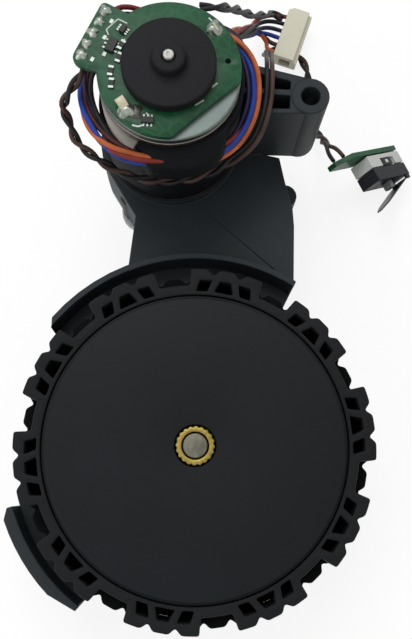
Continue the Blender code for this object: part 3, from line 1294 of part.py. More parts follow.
SWITCH_PAIR_ROUTE = (
    (-24.3, 71.4, 51.6), (-25.7, 69.0, 51.0), (-28.7, 65.5, 48.0), (-29.4, 64.1, 45.0), (-28.3, 62.1, 43.0),
    (-27.0, 59.3, 41.2), (-23.7, 56.8, 40.0), (-19.8, 54.8, 39.0), (-16.1, 53.6, 38.2), (-11.6, 53.1, 37.6),
    (-6.7, 53.3, 37.6), (-1.2, 54.5, 38.2), (2.5, 56.3, 39.0), (6.0, 58.7, 40.0), (8.5, 61.1, 41.3),
    (10.1, 64.4, 42.3), (11.1, 69.0, 42.8), (11.3, 73.6, 42.7), (11.2, 78.0, 41.8), (11.6, 83.3, 34.0),
    (12.4, 92.0, 20.0), (12.7, 96.5, 10.0), (12.9, 99.8, 3.4), (14.2, 101.9, 1.2), (17.4, 102.6, 1.1),
    (21.0, 101.4, 1.1), (23.3, 98.2, 1.1), (24.1, 94.0, 1.2), (25.0, 87.0, 1.3), (26.0, 81.0, 2.6),
    (27.2, 76.6, 7.0), (28.4, 72.4, 12.2), (30.2, 69.1, 14.1),
)


make_front()
make_cover()
for number, spot in enumerate(SCREW_PLACES, 1):
    screw(f"cover_screw_{number}", spot, FIT_GAP, SCREW_LENGTH - SEAT_GAP)
make_gear_pins()
compound_gear("gear_a", GEAR_A_AXIS, 0, 1, TOP_LAYER, MID_LAYER, UPPER_RUN_ANGLE, UPPER_RUN_ANGLE + pi)
compound_gear("gear_b", GEAR_B_AXIS, 1, 2, MID_LAYER, TOP_LAYER, UPPER_RUN_ANGLE, LOWER_RUN_ANGLE + pi)
compound_gear("gear_c", GEAR_C_AXIS, 2, 3, TOP_LAYER, LOW_LAYER, LOWER_RUN_ANGLE, LOWER_RUN_ANGLE + pi)
make_output_gear()
make_output_shaft()
make_bushes()
make_wheel_hub()
make_insert()
make_tyre()
make_motor_can()
make_end_bell()
make_field_magnets()
make_motor_fixings()
make_rotor()
make_board()
make_terminals()
make_chips()
make_connector()
make_switch_board()
make_switch_base()
make_switch_cover()
make_switch_plunger()
make_switch_lever()
wire("wire_loop", BUNDLE_ROUTE, BUNDLE_RADIUS, WIRE_BLUE)
wire("board_pair", BOARD_PAIR_ROUTE, PAIR_RADIUS, WIRE_BLACK)
wire("switch_pair", SWITCH_PAIR_ROUTE, PAIR_RADIUS, WIRE_BROWN)
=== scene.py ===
from math import cos, pi, radians, sin, tau

import bmesh
import bpy
import numpy as np
from mathutils import Matrix, Vector


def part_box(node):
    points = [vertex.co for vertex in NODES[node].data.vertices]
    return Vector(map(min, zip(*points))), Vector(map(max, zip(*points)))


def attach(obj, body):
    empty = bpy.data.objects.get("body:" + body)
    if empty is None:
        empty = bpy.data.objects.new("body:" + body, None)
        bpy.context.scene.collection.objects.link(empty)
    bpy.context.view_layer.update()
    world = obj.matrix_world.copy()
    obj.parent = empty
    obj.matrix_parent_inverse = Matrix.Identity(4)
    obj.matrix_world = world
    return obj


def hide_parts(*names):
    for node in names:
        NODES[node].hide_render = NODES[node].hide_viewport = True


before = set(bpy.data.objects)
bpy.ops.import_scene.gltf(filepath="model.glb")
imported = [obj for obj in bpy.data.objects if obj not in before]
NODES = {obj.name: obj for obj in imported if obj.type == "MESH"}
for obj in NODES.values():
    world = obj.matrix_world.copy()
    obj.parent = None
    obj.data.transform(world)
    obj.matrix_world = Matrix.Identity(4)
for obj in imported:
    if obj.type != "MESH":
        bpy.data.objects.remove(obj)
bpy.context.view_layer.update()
MM = 0.001
scene = bpy.context.scene


# The photographer's view. The module lies on its back on a white table and the camera looks
# almost straight down on it, from a little towards the wheel, so that the wheel's front disc
# and the top of the motor show together.
PHOTO_HEIGHT = 639
FOCAL_LENGTH = 892.2
SENSOR = 36.0
CAMERA_PLACE = (-1.003 * MM, -8.035 * MM, 211.74 * MM)
CAMERA_RIGHT = (0.99858302, 0.04933926, 0.01993979)
CAMERA_UP = (-0.0521767, 0.98144617, 0.18450203)


def shown(name, data):
    """An object in the scene for a camera, a lamp, a mesh or a curve."""
    made = bpy.data.objects.new(name, data)
    scene.collection.objects.link(made)
    return made


lens = bpy.data.cameras.new("photo_view")
lens.sensor_width = SENSOR
lens.lens = FOCAL_LENGTH / PHOTO_HEIGHT * SENSOR
lens.clip_start = 10 * MM
lens.clip_end = 5.0
camera = shown("photo_view", lens)
camera_x = Vector(CAMERA_RIGHT).normalized()
camera_y = Vector(CAMERA_UP).normalized()
camera_axes = Matrix((camera_x, camera_y, camera_x.cross(camera_y))).transposed()
camera.matrix_world = Matrix.Translation(CAMERA_PLACE) @ camera_axes.to_4x4()
scene.camera = camera


# Table and light. A pale table that fades into a white surround, one large soft lamp above the
# motor's end and a weaker one from the lower left, over an even sky.
TABLE_SIZE = 3.0
TABLE_GAP = 0.02 * MM
TABLE_GREY = 0.86
TABLE_GLOW = 1.08
TABLE_LIFT = 0.76
SURROUND = 0.97
SKY = 0.52
WHITE = (1.0, 1.0, 1.0, 1.0)
SQUARE = np.array(((-1, -1), (1, -1), (1, 1), (-1, 1)))


class Look:
    """A value on its way through a material: operators on it add Math nodes, and node() adds any other."""

    def __init__(self, tree, socket=None):
        self.tree = tree
        self.socket = socket

    def node(self, kind, values=None, settings=None, output=0):
        """Adds a shader node, sets its settings and a ramp's stops, then sets or links its sockets."""
        made = self.tree.nodes.new(kind)
        for name, value in (settings or {}).items():
            if name == "stops":
                ramp = made.color_ramp.elements
                while len(ramp) < len(value):
                    ramp.new(1.0)
                for stop, (place, tone) in zip(ramp, value):
                    stop.position = place
                    stop.color = (*tone, 1.0) if hasattr(tone, "__len__") else (tone, tone, tone, 1.0)
            else:
                setattr(made, name, value)
        for name, value in (values or {}).items():
            if isinstance(value, Look):
                self.tree.links.new(value.socket, made.inputs[name])
            else:
                made.inputs[name].default_value = value
        return Look(self.tree, made.outputs[output]) if made.outputs else made

    def maths(self, operation, *values):
        """One Math node on numbers or other values."""
        return self.node("ShaderNodeMath", dict(enumerate(values)), {"operation": operation})

    def __add__(self, other):
        return self.maths("ADD", self, other)

    def __radd__(self, other):
        return self.maths("ADD", other, self)

    def __mul__(self, other):
        return self.maths("MULTIPLY", self, other)

    def __lt__(self, other):
        return self.maths("LESS_THAN", self, other)


def seen_directly(start):
    """One for a ray of the camera, a mirror or a glass, and nothing for light that falls on the object."""
    seen = start.node("ShaderNodeLightPath", output="Is Camera Ray")
    for name in ("Is Glossy Ray", "Is Transmission Ray"):
        seen = seen.maths("MAXIMUM", seen, start.node("ShaderNodeLightPath", output=name))
    return seen


def emptied(owner):
    """The start of the expressions in the emptied nodes of a material or a world."""
    owner.use_nodes = True
    owner.node_tree.nodes.clear()
    return Look(owner.node_tree)


world = bpy.data.worlds.new("white_surround")
sky = emptied(world)
sky_light = sky.node("ShaderNodeBackground", {"Color": WHITE, "Strength": SKY})
sky_white = sky.node("ShaderNodeBackground", {"Color": WHITE, "Strength": SURROUND})
sky_mix = sky.node("ShaderNodeMixShader", {0: seen_directly(sky), 1: sky_light, 2: sky_white})
sky.node("ShaderNodeOutputWorld", {"Surface": sky_mix})
scene.world = world
scene.view_settings.view_transform = "Standard"


def new_look(name):
    """An empty node material and the start of its expressions."""
    made = bpy.data.materials.new(name)
    return made, emptied(made)


table_look, table_start = new_look("table_white")
table_matt = table_start.node("ShaderNodeBsdfDiffuse", {"Color": (TABLE_GREY,) * 3 + (1.0,)})
table_glow = table_start.node("ShaderNodeEmission", {"Color": WHITE, "Strength": TABLE_GLOW})
table_pale = table_start.node("ShaderNodeMixShader", {0: TABLE_LIFT, 1: table_matt, 2: table_glow})
table_rays = seen_directly(table_start)
table_mix = table_start.node("ShaderNodeMixShader", {0: table_rays, 1: table_matt, 2: table_pale})
table_start.node("ShaderNodeOutputMaterial", {"Surface": table_mix})
table_corners = [(x * TABLE_SIZE, y * TABLE_SIZE, -TABLE_GAP) for x, y in SQUARE.tolist()]
table_mesh = bpy.data.meshes.new("table")
table_mesh.from_pydata(table_corners, [], [(0, 1, 2, 3)])
table_mesh.materials.append(table_look)
shown("table", table_mesh)


def soft_lamp(name, place, aim, size, power):
    """A square area lamp that faces a point."""
    lamp = bpy.data.lights.new(name, "AREA")
    lamp.shape = "SQUARE"
    lamp.size = size
    lamp.energy = power
    made = shown(name, lamp)
    made.location = place
    made.rotation_mode = "QUATERNION"
    made.rotation_quaternion = (Vector(aim) - Vector(place)).to_track_quat("-Z", "Y")


MODULE_MIDDLE = (0.0, 35 * MM, 20 * MM)
soft_lamp("top_lamp", (-0.15, 0.45, 0.75), MODULE_MIDDLE, 0.5, 3.2)
soft_lamp("left_lamp", (-0.55, -0.25, 0.45), MODULE_MIDDLE, 0.35, 0.9)


# Wires. Six thin wires in plastic covers run from the connector once round the motor and end under
# the encoder board's tab, two black ones twist from the connector to the board's upper edge, and a
# brown one and a black one twist round the motor and under the connector to the micro switch.
BUNDLE_ROUTE = (
    (15.9, 105.0, 4.7), (13.1, 105.8, 4.8), (10.2, 104.8, 7.0), (8.2, 100.8, 13.0), (5.8, 95.6, 21.5),
    (2.8, 90.6, 29.0), (-1.5, 87.6, 33.6), (-7.2, 86.4, 36.2), (-13.1, 85.9, 37.6), (-18.4, 83.4, 39.4),
    (-23.3, 78.0, 42.2), (-25.5, 71.0, 44.6), (-24.6, 63.8, 46.2), (-20.7, 57.6, 47.4), (-14.5, 54.0, 47.4),
    (-7.2, 53.3, 46.6), (-0.3, 55.2, 45.6), (5.1, 59.9, 45.0), (7.9, 66.6, 45.4), (7.6, 74.0, 45.8),
    (4.2, 80.4, 45.2), (-1.6, 84.9, 43.6), (-8.7, 86.2, 44.4), (-16.1, 84.2, 47.2), (-20.6, 81.0, 49.6),
    (-23.8, 77.2, 51.1),
)
BOARD_PAIR_ROUTE = (
    (-3.6, 84.4, 51.2), (-0.6, 84.9, 50.6), (1.7, 87.3, 46.5), (4.7, 93.2, 35.5), (8.2, 99.1, 23.5),
    (12.0, 105.6, 12.5), (14.2, 109.9, 5.6), (16.8, 109.2, 4.7),
)
SWITCH_PAIR_ROUTE = (
    (-24.3, 71.4, 51.6), (-25.7, 69.0, 51.0), (-28.7, 65.5, 48.0), (-29.4, 64.1, 45.0), (-28.3, 62.1, 43.0),
    (-27.0, 59.3, 41.2), (-23.7, 56.8, 40.0), (-19.8, 54.8, 39.0), (-16.1, 53.6, 38.2), (-11.6, 53.1, 37.6),
    (-6.7, 53.3, 37.6), (-1.2, 54.5, 38.2), (2.5, 56.3, 39.0), (6.0, 58.7, 40.0), (8.5, 61.1, 41.3),
    (10.1, 64.4, 42.3), (11.1, 69.0, 42.8), (11.3, 73.6, 42.7), (11.2, 78.0, 41.8), (11.6, 83.3, 34.0),
    (12.4, 92.0, 20.0), (12.7, 96.5, 10.0), (12.9, 99.8, 3.4), (14.2, 101.9, 1.2), (17.4, 102.6, 1.1),
    (21.0, 101.4, 1.1), (23.3, 98.2, 1.1), (24.1, 94.0, 1.2), (25.0, 87.0, 1.3), (26.0, 81.0, 2.6),
    (27.2, 76.6, 7.0), (28.4, 72.4, 12.2), (30.2, 69.1, 14.1),
)
CABLE_THICKNESS = 1.05 * MM
PAIR_THICKNESS = 1.0 * MM
WIRE_STEP = 0.7 * MM
WIRE_COLUMNS = 12
CONTACT_PITCH = 2.0 * MM
CONTACT_DIRECTION = (0.9613, -0.2756, 0.0)
CONTACT_REACH = 2.6 * MM
FAN_OUT = 9 * MM
RING_RADIUS = 1.06 * MM
RING_TURN = 95 * MM
TAB_FIRST_JOINT = np.array((-21.4, 81.0, 52.2)) * MM
TAB_LAST_JOINT = np.array((-25.5, 71.6, 52.2)) * MM
TAB_BLEND = 20 * MM
PAIR_RADIUS = 0.53 * MM
BOARD_PAIR_TURN = 26 * MM
SWITCH_PAIR_TURN = 9 * MM
PAIR_OPENING = 11 * MM
SWITCH_PAIR_SPREAD = 1.3 * MM
SWITCH_PAIR_PARALLEL = (0.33, 0.7)
PARALLEL_BLEND = 0.03
LAY_START = (0.31, 0.39)
LAY_SMOOTHING = 5
LAY_SHARES = (0.42, 0.465, 0.5, 0.535, 0.57, 0.625, 0.66, 0.74, 0.78, 0.82, 0.89, 0.95)
# Each cable's name and colour, and how far outwards and upwards of the bundle's middle it lies at LAY_SHARES
CABLES = (
    ("dark_red", (0.19, 0.02, 0.016), (-0.7, 0.0, 0.9, 0.9, 0.0, -0.9, -0.9, 0.8, 0.9, -0.1, -1.2, -1.0),
     (-0.7, -1.1, -1.2, 0.1, 1.1, 1.2, 1.0, -0.9, -0.5, 0.9, 0.3, -0.6)),
    ("black", (0.006, 0.006, 0.008), (-0.9, -1.4, -1.5, -0.9, -0.9, -0.9, -0.2, -0.1, 0.1, 1.5, -1.2, -1.0),
     (0.7, 0.8, 0.6, -0.7, -1.0, 0.0, -0.4, -0.4, -1.0, -0.1, -0.75, -1.6)),
    ("purple", (0.018, 0.012, 0.05), (0.9, -0.8, -1.3, 0.2, 0.1, -0.9, -1.0, -1.2, -1.2, 0.7, -1.2, -1.0),
     (0.8, -0.2, -0.6, -0.5, -1.1, -1.1, -0.2, 0.6, -0.1, 0.8, -1.8, -2.6)),
    ("blue", (0.012, 0.04, 0.27), (1.0, 1.0, 0.3, 1.4, 0.1, 0.0, 0.3, -0.2, -0.3, -0.6, -0.2, 0.0),
     (-0.4, 0.5, 0.5, -0.9, 0.0, 0.9, 0.6, 0.9, 0.6, -0.3, -0.2, -1.2)),
    ("maroon", (0.06, 0.014, 0.014), (0.1, 0.1, -0.6, -0.9, -0.9, 0.1, 0.2, -0.9, -0.8, -0.6, -0.2, 0.0),
     (0.2, 0.1, -0.1, 0.4, 0.1, -1.3, -1.3, -0.5, -0.6, -1.0, -1.3, -2.2)),
    ("orange", (0.44, 0.105, 0.032), (0.2, 0.9, 1.3, 0.1, -0.9, 0.1, 0.9, 0.9, 0.8, -0.8, -0.2, -1.0),
     (-1.0, -0.8, -0.2, 0.8, 1.2, -0.2, -0.4, 0.2, 1.1, 1.3, -2.3, -3.6)),
)


def along(path):
    """How far each point of a path lies from its start, measured along it."""
    return np.concatenate(([0.0], np.cumsum(np.linalg.norm(np.diff(path, axis=0), axis=1))))


def evenly(path, step):
    """The path with its points an even step apart."""
    lengths = along(path)
    wanted = np.linspace(0.0, lengths[-1], round(lengths[-1] / step) + 1)
    return np.stack([np.interp(wanted, lengths, path[:, axis]) for axis in range(3)], axis=1)


def smooth_route(points, step):
    """Even points on the Catmull-Rom curve through a route in millimetres. With a, s, e, b the points
    before a span, at its start, at its end and after it, the span is
    (2 s + (e - a) t + (2 a - 5 s + 4 e - b) t^2 + (3 s - a - 3 e + b) t^3) / 2."""
    knots = np.array(points) * MM
    knots = np.vstack((2 * knots[:1] - knots[1:2], knots, 2 * knots[-1:] - knots[-2:-1]))
    a, s, e, b = (knots[i:len(knots) - 3 + i, None] for i in range(4))
    t = np.linspace(0.0, 1.0, 20, endpoint=False)[None, :, None]
    spans = (2 * s + (e - a) * t + (2 * a - 5 * s + 4 * e - b) * t**2 + (3 * s - a - 3 * e + b) * t**3) / 2
    return evenly(np.vstack((spans.reshape(-1, 3), knots[-2])), step)


def unit(vectors):
    """Each vector made one long."""
    return vectors / np.linalg.norm(vectors, axis=-1, keepdims=True)


def path_sides(path):
    """Two directions square to a path at each point: one level, outwards on a left turn, and one upwards."""
    ahead = unit(np.gradient(path, axis=0))
    upwards = np.array((0.0, 0.0, 1.0))
    rising = unit(upwards - ahead * ahead[:, 2:3])
    return np.cross(ahead, rising), rising


def eased(values, start, end):
    """A smooth step from nothing at start to one at end: 3 t^2 - 2 t^3."""
    t = np.clip((values - start) / (end - start), 0.0, 1.0)
    return t * t * (3 - 2 * t)


def hump(values, start, full, fading, end):
    """Nothing up to start, one from full to fading, and nothing again from end."""
    return eased(values, start, full) * (1 - eased(values, fading, end))


def skin(name, grid, look, ring=False, round_rows=True, capped=False, crease=35):
    """The surface of quads through a rows x columns x 3 grid of points. round_rows joins each row's end
    to its start, ring joins the last row to the first, and capped closes the two end rows."""
    rows, columns = grid.shape[:2]
    down = np.arange(rows if ring else rows - 1)[:, None]
    across = np.arange(columns if round_rows else columns - 1)[None, :]
    first = down * columns
    second = (down + 1) % rows * columns
    beside = (across + 1) % columns
    quads = np.stack((first + across, first + beside, second + beside, second + across), axis=-1)
    faces = quads.reshape(-1, 4).tolist()
    if capped:
        faces += [list(range(columns)), list(range((rows - 1) * columns, rows * columns))]
    mesh = bpy.data.meshes.new(name)
    mesh.from_pydata(grid.reshape(-1, 3).tolist(), [], faces)
    return finished(name, mesh, look, crease)


def finished(name, mesh, look, crease=35, moulded=False):
    """A mesh with its doubles merged and its faces turned out, as a smooth object in the scene. In a
    moulded one the triangles of each flat face are joined first."""
    shaped = bmesh.new()
    shaped.from_mesh(mesh)
    bmesh.ops.remove_doubles(shaped, verts=shaped.verts, dist=2e-6 if moulded else 1e-7)
    if moulded:
        bmesh.ops.dissolve_limit(shaped, angle_limit=radians(1.0), verts=shaped.verts, edges=shaped.edges)
    bmesh.ops.recalc_face_normals(shaped, faces=shaped.faces)
    shaped.to_mesh(mesh)
    shaped.free()
    mesh.materials.clear()
    mesh.materials.append(look)
    mesh.shade_smooth()
    mesh.set_sharp_from_angle(angle=radians(crease))
    return shown(name, mesh)


def tube(name, path, radius, look, columns=WIRE_COLUMNS):
    """A round tube: each point of the path plus radius (cos a side + sin a rising)."""
    side, rising = path_sides(path)
    angles = np.linspace(0.0, tau, columns, endpoint=False)[None, :, None]
    grid = path[:, None] + radius * (np.cos(angles) * side[:, None] + np.sin(angles) * rising[:, None])
    return skin(name, grid, look, capped=True, crease=60)


def noise(where, scale, detail):
    """A cloudy value at a place in the material."""
    return where.node("ShaderNodeTexNoise", {"Vector": where, "Scale": scale, "Detail": detail})


def two_toned(value, low, dark, high, pale):
    """The colour of a value, dark up to low and pale from high."""
    return value.node("ShaderNodeValToRGB", {0: value}, {"stops": ((low, dark), (high, pale))})


def surfaced(made, tone, roughness, height, strength, distance, **constants):
    """The look's surface: its colour and gloss, a bump of a height, and the numbers that stay the same."""
    bump = {"Strength": strength, "Distance": distance, "Height": height}
    dents = height.node("ShaderNodeBump", bump)
    surface = tone.node("ShaderNodeBsdfPrincipled", {
        "Base Color": tone, "Roughness": roughness, "Normal": dents,
        **{name.replace("_", " "): value for name, value in constants.items()},
    })
    tone.node("ShaderNodeOutputMaterial", {"Surface": surface})
    return made


def piece_look(name):
    """A piece's material, and where on the object each of its points is."""
    made, start = new_look(name)
    return made, start.node("ShaderNodeTexCoord", output="Object")


def cover_look(name, colour):
    """A wire's plastic cover: its colour, a little uneven and rubbed, with a soft gloss."""
    made, where = piece_look(name)
    cloud = noise(where, 260.0, 3.0)
    pale = tuple(min(1.0, 1.35 * part + 0.008) for part in colour)
    deep = tuple(0.75 * part for part in colour)
    tone = two_toned(cloud, 0.3, deep, 0.7, pale)
    return surfaced(made, tone, 0.38 + cloud * 0.2, noise(where, 2500.0, 2.0), 0.25, 0.03 * MM,
                    Specular_IOR_Level=0.2)


def placed(made, body, node):
    """Puts a piece on its body, in the place of the CAD node that it stands for."""
    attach(made, body)
    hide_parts(node)
    return made


def free_wire(name, path, thickness, look, node):
    """One plastic-covered wire as a round tube along its path, put on the housing in the CAD node's place."""
    made = placed(tube(name, path, thickness / 2, look), "housing", node)
    points = path[::3].tolist() + [path[-1].tolist()]


bundle = smooth_route(BUNDLE_ROUTE, WIRE_STEP)
bundle_side, bundle_rise = path_sides(bundle)
bundle_way = along(bundle)
fan = 1 - eased(bundle_way, 0.0, FAN_OUT)
bundle_share = bundle_way / bundle_way[-1]
laid = eased(bundle_share, *LAY_START)[:, None]


def lay(values):
    """A cable's places at LAY_SHARES, in millimetres: the running mean of straight runs between them."""
    runs = np.interp(bundle_share, LAY_SHARES, values) * MM
    window = 2 * LAY_SMOOTHING + 1
    return np.convolve(np.pad(runs, LAY_SMOOTHING, mode="edge"), np.ones(window) / window, "valid")


for place, (label, colour, outwards, upwards) in enumerate(CABLES):
    turn = tau * (place / len(CABLES) + bundle_way / RING_TURN)
    ring_spot = RING_RADIUS * np.stack((np.cos(turn), np.sin(turn)), axis=1)
    spot = (1 - laid) * ring_spot + laid * np.stack((lay(outwards), lay(upwards)), axis=1)
    spot = spot * (1 - fan)[:, None]
    spot[:, 0] += fan * ((len(CABLES) - 1) / 2 - place) * CONTACT_PITCH
    strand = bundle + bundle_side * spot[:, :1] + bundle_rise * spot[:, 1:]
    joint = TAB_FIRST_JOINT + (TAB_LAST_JOINT - TAB_FIRST_JOINT) * place / (len(CABLES) - 1)
    closing = eased(bundle_way, bundle_way[-1] - TAB_BLEND, bundle_way[-1])[:, None]
    strand = strand + closing * (joint - strand[-1])
    inside = strand[:1] + np.array(CONTACT_DIRECTION) * CONTACT_REACH
    strand = evenly(np.vstack((inside, strand)), WIRE_STEP)
    free_wire(f"motor_wire_{label}", strand, CABLE_THICKNESS, cover_look(f"cover_{label}", colour),
              "wire_loop")


def twisted(route, part, pitch, spread, parallel=(1.0, 1.0)):
    """One strand of a pair: a helix of one turn each pitch about the route. Between two shares of its
    length the strands lie side by side, and at their end they open to a spread from the route."""
    side, rising = path_sides(route)
    way = along(route)
    share = way / way[-1]
    first, last = parallel
    slack = hump(share, first - PARALLEL_BLEND, first, last, last + PARALLEL_BLEND)
    turns = np.concatenate(([0.0], np.cumsum(np.diff(way) * (1 - slack[1:])))) / pitch
    before = turns[share < first][-1]
    whole = round(2 * before) / 2 / before
    turn = tau * turns * whole + pi * part
    opened = eased(way, way[-1] - PAIR_OPENING, way[-1])
    sideways = PAIR_RADIUS * np.cos(turn) * (1 - opened) + spread * (1 if part else -1) * opened
    upwards = PAIR_RADIUS * np.sin(turn) * (1 - opened)
    return evenly(route + side * sideways[:, None] + rising * upwards[:, None], WIRE_STEP)


board_route = smooth_route(BOARD_PAIR_ROUTE, WIRE_STEP)
switch_route = smooth_route(SWITCH_PAIR_ROUTE, WIRE_STEP)
sensor_black = cover_look("cover_sensor_black", (0.006, 0.006, 0.008))
switch_black = cover_look("cover_switch_black", (0.01, 0.009, 0.009))
switch_brown = cover_look("cover_switch_brown", (0.052, 0.028, 0.022))
for part in (0, 1):
    strand = twisted(board_route, part, BOARD_PAIR_TURN, PAIR_RADIUS)
    free_wire(f"board_wire_{part + 1}", strand, PAIR_THICKNESS, sensor_black, "board_pair")
for part, (label, cover) in enumerate((("brown", switch_brown), ("black", switch_black))):
    strand = twisted(switch_route, part, SWITCH_PAIR_TURN, SWITCH_PAIR_SPREAD, SWITCH_PAIR_PARALLEL)
    free_wire(f"switch_wire_{label}", strand, PAIR_THICKNESS, cover, "switch_pair")


# Connector. A moulded nylon housing with six crimped contacts in a row, which the motor's wires
# enter from one long side; the other long side has a stepped keying edge.
MOULD_EDGE = 0.22 * MM
MOULD_CREASE = 32


def moulded_look(name, dark, pale, roughness, grain=900.0, depth=0.02, gloss=0.5):
    """A moulded finish: two tones in soft clouds, a fine grain in the surface, an uneven gloss."""
    made, where = piece_look(name)
    cloud = noise(where, 45.0, 4.0)
    fine = noise(where, grain, 3.0)
    tone = two_toned(cloud * 0.75 + fine * 0.25, 0.32, dark, 0.68, pale)
    return surfaced(made, tone, (roughness - 0.08) + cloud * 0.16, fine, 0.35, depth * MM,
                    Specular_IOR_Level=gloss)


def moulded_copy(name, node, look, body, edge=MOULD_EDGE):
    """Puts a copy of a CAD solid, with its edges rounded as a mould leaves them, in the solid's place."""
    made = finished(name, NODES[node].data.copy(), look, 30, moulded=True)
    rounding = made.modifiers.new("mould_edge", "BEVEL")
    rounding.width = edge
    rounding.segments = 2
    rounding.limit_method = "ANGLE"
    rounding.angle_limit = radians(MOULD_CREASE)
    rounding.miter_outer = "MITER_ARC"
    rounding.use_clamp_overlap = False
    levelled = made.modifiers.new("level_faces", "WEIGHTED_NORMAL")
    levelled.keep_sharp = True
    levelled.weight = 90
    placed(made, body, node)


ivory = moulded_look("connector_ivory", (0.6, 0.57, 0.44), (0.7, 0.67, 0.53), 0.42, depth=0.012)
moulded_copy("connector_body", "connector_housing", ivory, "housing", 0.18 * MM)


# Gearbox shells. The front shell is one black moulding with the arm, the wheel's well, both arches,
# the motor's seat and the pivot boss; the back cover is a paler plate under it, held by six screws.
SCREW_RECESS = 0.55 * MM
SCREW_DOME = 0.3 * MM
SCREW_SHANK = 1.1 * MM
SCREW_SIDES = 96
black_plastic = moulded_look("arm_black_plastic", (0.016, 0.021, 0.024), (0.028, 0.034, 0.038),
                             0.52, 1400.0, gloss=0.16)
grey_plastic = moulded_look("cover_grey_plastic", (0.4, 0.41, 0.42), (0.5, 0.51, 0.52), 0.5, 1400.0)
moulded_copy("arm_shell", "gearbox_front", black_plastic, "housing")
moulded_copy("back_cover", "gearbox_cover", grey_plastic, "housing")


def measured(node):
    """The centre of a CAD node's box, half its size, and its lowest and highest level."""
    low, high = (np.array(corner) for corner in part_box(node))
    return (low + high) / 2, (high - low) / 2, low[2], high[2]


def metal_look(name, dark, pale, roughness, scale=(1.0, 1.0, 1.0), grain=1800.0):
    """Worked metal: two close tones and an uneven gloss, drawn out along the way that it was worked."""
    made, where = piece_look(name)
    drawn = where.node("ShaderNodeMapping", {"Vector": where, "Scale": scale})
    streaks = noise(drawn, grain, 4.0)
    mottle = streaks * 0.5 + noise(where, 180.0, 3.0) * 0.5
    tone = two_toned(mottle, 0.3, dark, 0.7, pale)
    return surfaced(made, tone, (roughness - 0.1) + mottle * 0.2, streaks, 0.3, 0.01 * MM, Metallic=1.0)


steel = metal_look("bright_steel", (0.5, 0.49, 0.47), (0.68, 0.67, 0.64), 0.32)


def rounded(corners, radii, steps=4):
    """A closed profile with each corner P replaced by the curve (1 - t)^2 A + 2 t (1 - t) P + t^2 B,
    from A to B, which lie a rounding's length, or half an edge at most, from P on its two edges."""
    points = np.array(corners, float)
    before = np.roll(points, 1, axis=0) - points
    after = np.roll(points, -1, axis=0) - points
    reach = np.broadcast_to(np.array(radii, float), len(points))[:, None]
    starts = points + unit(before) * np.minimum(reach, 0.48 * np.linalg.norm(before, axis=1, keepdims=True))
    ends = points + unit(after) * np.minimum(reach, 0.48 * np.linalg.norm(after, axis=1, keepdims=True))
    t = np.linspace(0.0, 1.0, steps + 1)[None, :, None]
    curves = (1 - t) ** 2 * starts[:, None] + 2 * t * (1 - t) * points[:, None] + t**2 * ends[:, None]
    return curves.reshape(-1, 2)


def round_angles(sides):
    """A column of even angles once round."""
    return np.linspace(0.0, tau, sides, endpoint=False)[:, None]


def about_axis(centre, radii, angles, heights):
    """Points about an upright axis: x = r cos a, y = r sin a, z = h."""
    x = centre[0] + np.cos(angles) * radii
    y = centre[1] + np.sin(angles) * radii
    return np.stack(np.broadcast_arrays(x, y, heights), axis=-1)


def turned_grid(centre, profile, sides):
    """Rows round an axis, one point for each (r, h) of a profile."""
    return about_axis(centre, profile[None, :, 0], round_angles(sides), profile[None, :, 1])


def turned(name, centre, corners, radii, look, sides=96, crease=30):
    """A turned piece of a rounded closed profile of (radius, height) corners."""
    return skin(name, turned_grid(centre, rounded(corners, radii), sides), look, ring=True, crease=crease)


def cross_screw(name, node):
    """A pan head screw: its head is a polar sheet z = dome (r / R)^4, pushed in over a cross whose arms
    are where the smaller of max(|x| / long, |y| / wide) and max(|y| / long, |x| / wide) is under one."""
    centre, half, low, high = measured(node)
    head = half[0]
    length = high - low
    radii = np.linspace(0.0, head, 26)[1:]
    angles = round_angles(SCREW_SIDES)
    x = np.abs(np.cos(angles) * radii) / MM
    y = np.abs(np.sin(angles) * radii) / MM
    arm = np.minimum(np.maximum(x / 0.95, y / 0.3), np.maximum(y / 0.95, x / 0.3))
    depth = SCREW_RECESS * (1 - eased(arm, 0.75, 1.25))
    face = about_axis((0.0, 0.0), radii, angles, SCREW_DOME * (radii / head) ** 4 + depth)
    shank = ((head, SCREW_SHANK), (SCREW_SHANK, SCREW_SHANK), (SCREW_SHANK, length), (0.0, length))
    rest = turned_grid((0.0, 0.0), np.array(shank), SCREW_SIDES)
    pole = about_axis((0.0, 0.0), 0.0, angles, SCREW_RECESS)
    grid = np.concatenate((pole, face, rest), axis=1) + (centre[0], centre[1], low)
    return skin(name, grid, steel, ring=True, round_rows=False, crease=40)


def keep_solid(look, *names):
    """Gives its look to each CAD node that stays as it is."""
    for name in names:
        NODES[name].data.materials.clear()
        NODES[name].data.materials.append(look)


for number in range(1, 7):
    node = f"cover_screw_{number}"
    placed(cross_screw(f"back_screw_{number}", node), "housing", node)
keep_solid(steel, "motor_screw_1", "motor_screw_2")


# Wheel. A black moulded wheel with a flat front disc, six ribs behind it and a brass insert in its
# hub; the soft rubber tyre, with two rows of hollow tread groups, is pushed over its rim.
DISC_STEP = 0.6 * MM
DISC_STEP_DEPTH = 1.5 * MM
DISC_WALL = 2.2 * MM
DISC_EDGE = 0.55 * MM
RIM_WALL = 2.0 * MM
HUB_RADIUS = 6.5 * MM
RIB_WALL = 1.4 * MM
RIBS = 6
HUB_BORE = 2.7 * MM
_, (rim, _, _), back, front = measured("wheel_hub")
_, (insert_radius, _, _), insert_low, insert_high = measured("hub_insert")
inner_rim = rim - RIM_WALL
step_floor = front - DISC_STEP_DEPTH
disc_back = front - DISC_WALL
insert_seat = insert_radius + 0.2 * MM
seat_floor = insert_low - 0.3 * MM
wheel_black = moulded_look("wheel_black_plastic", (0.005, 0.0066, 0.008), (0.0085, 0.0105, 0.0125),
                           0.5, 1700.0, gloss=0.13)
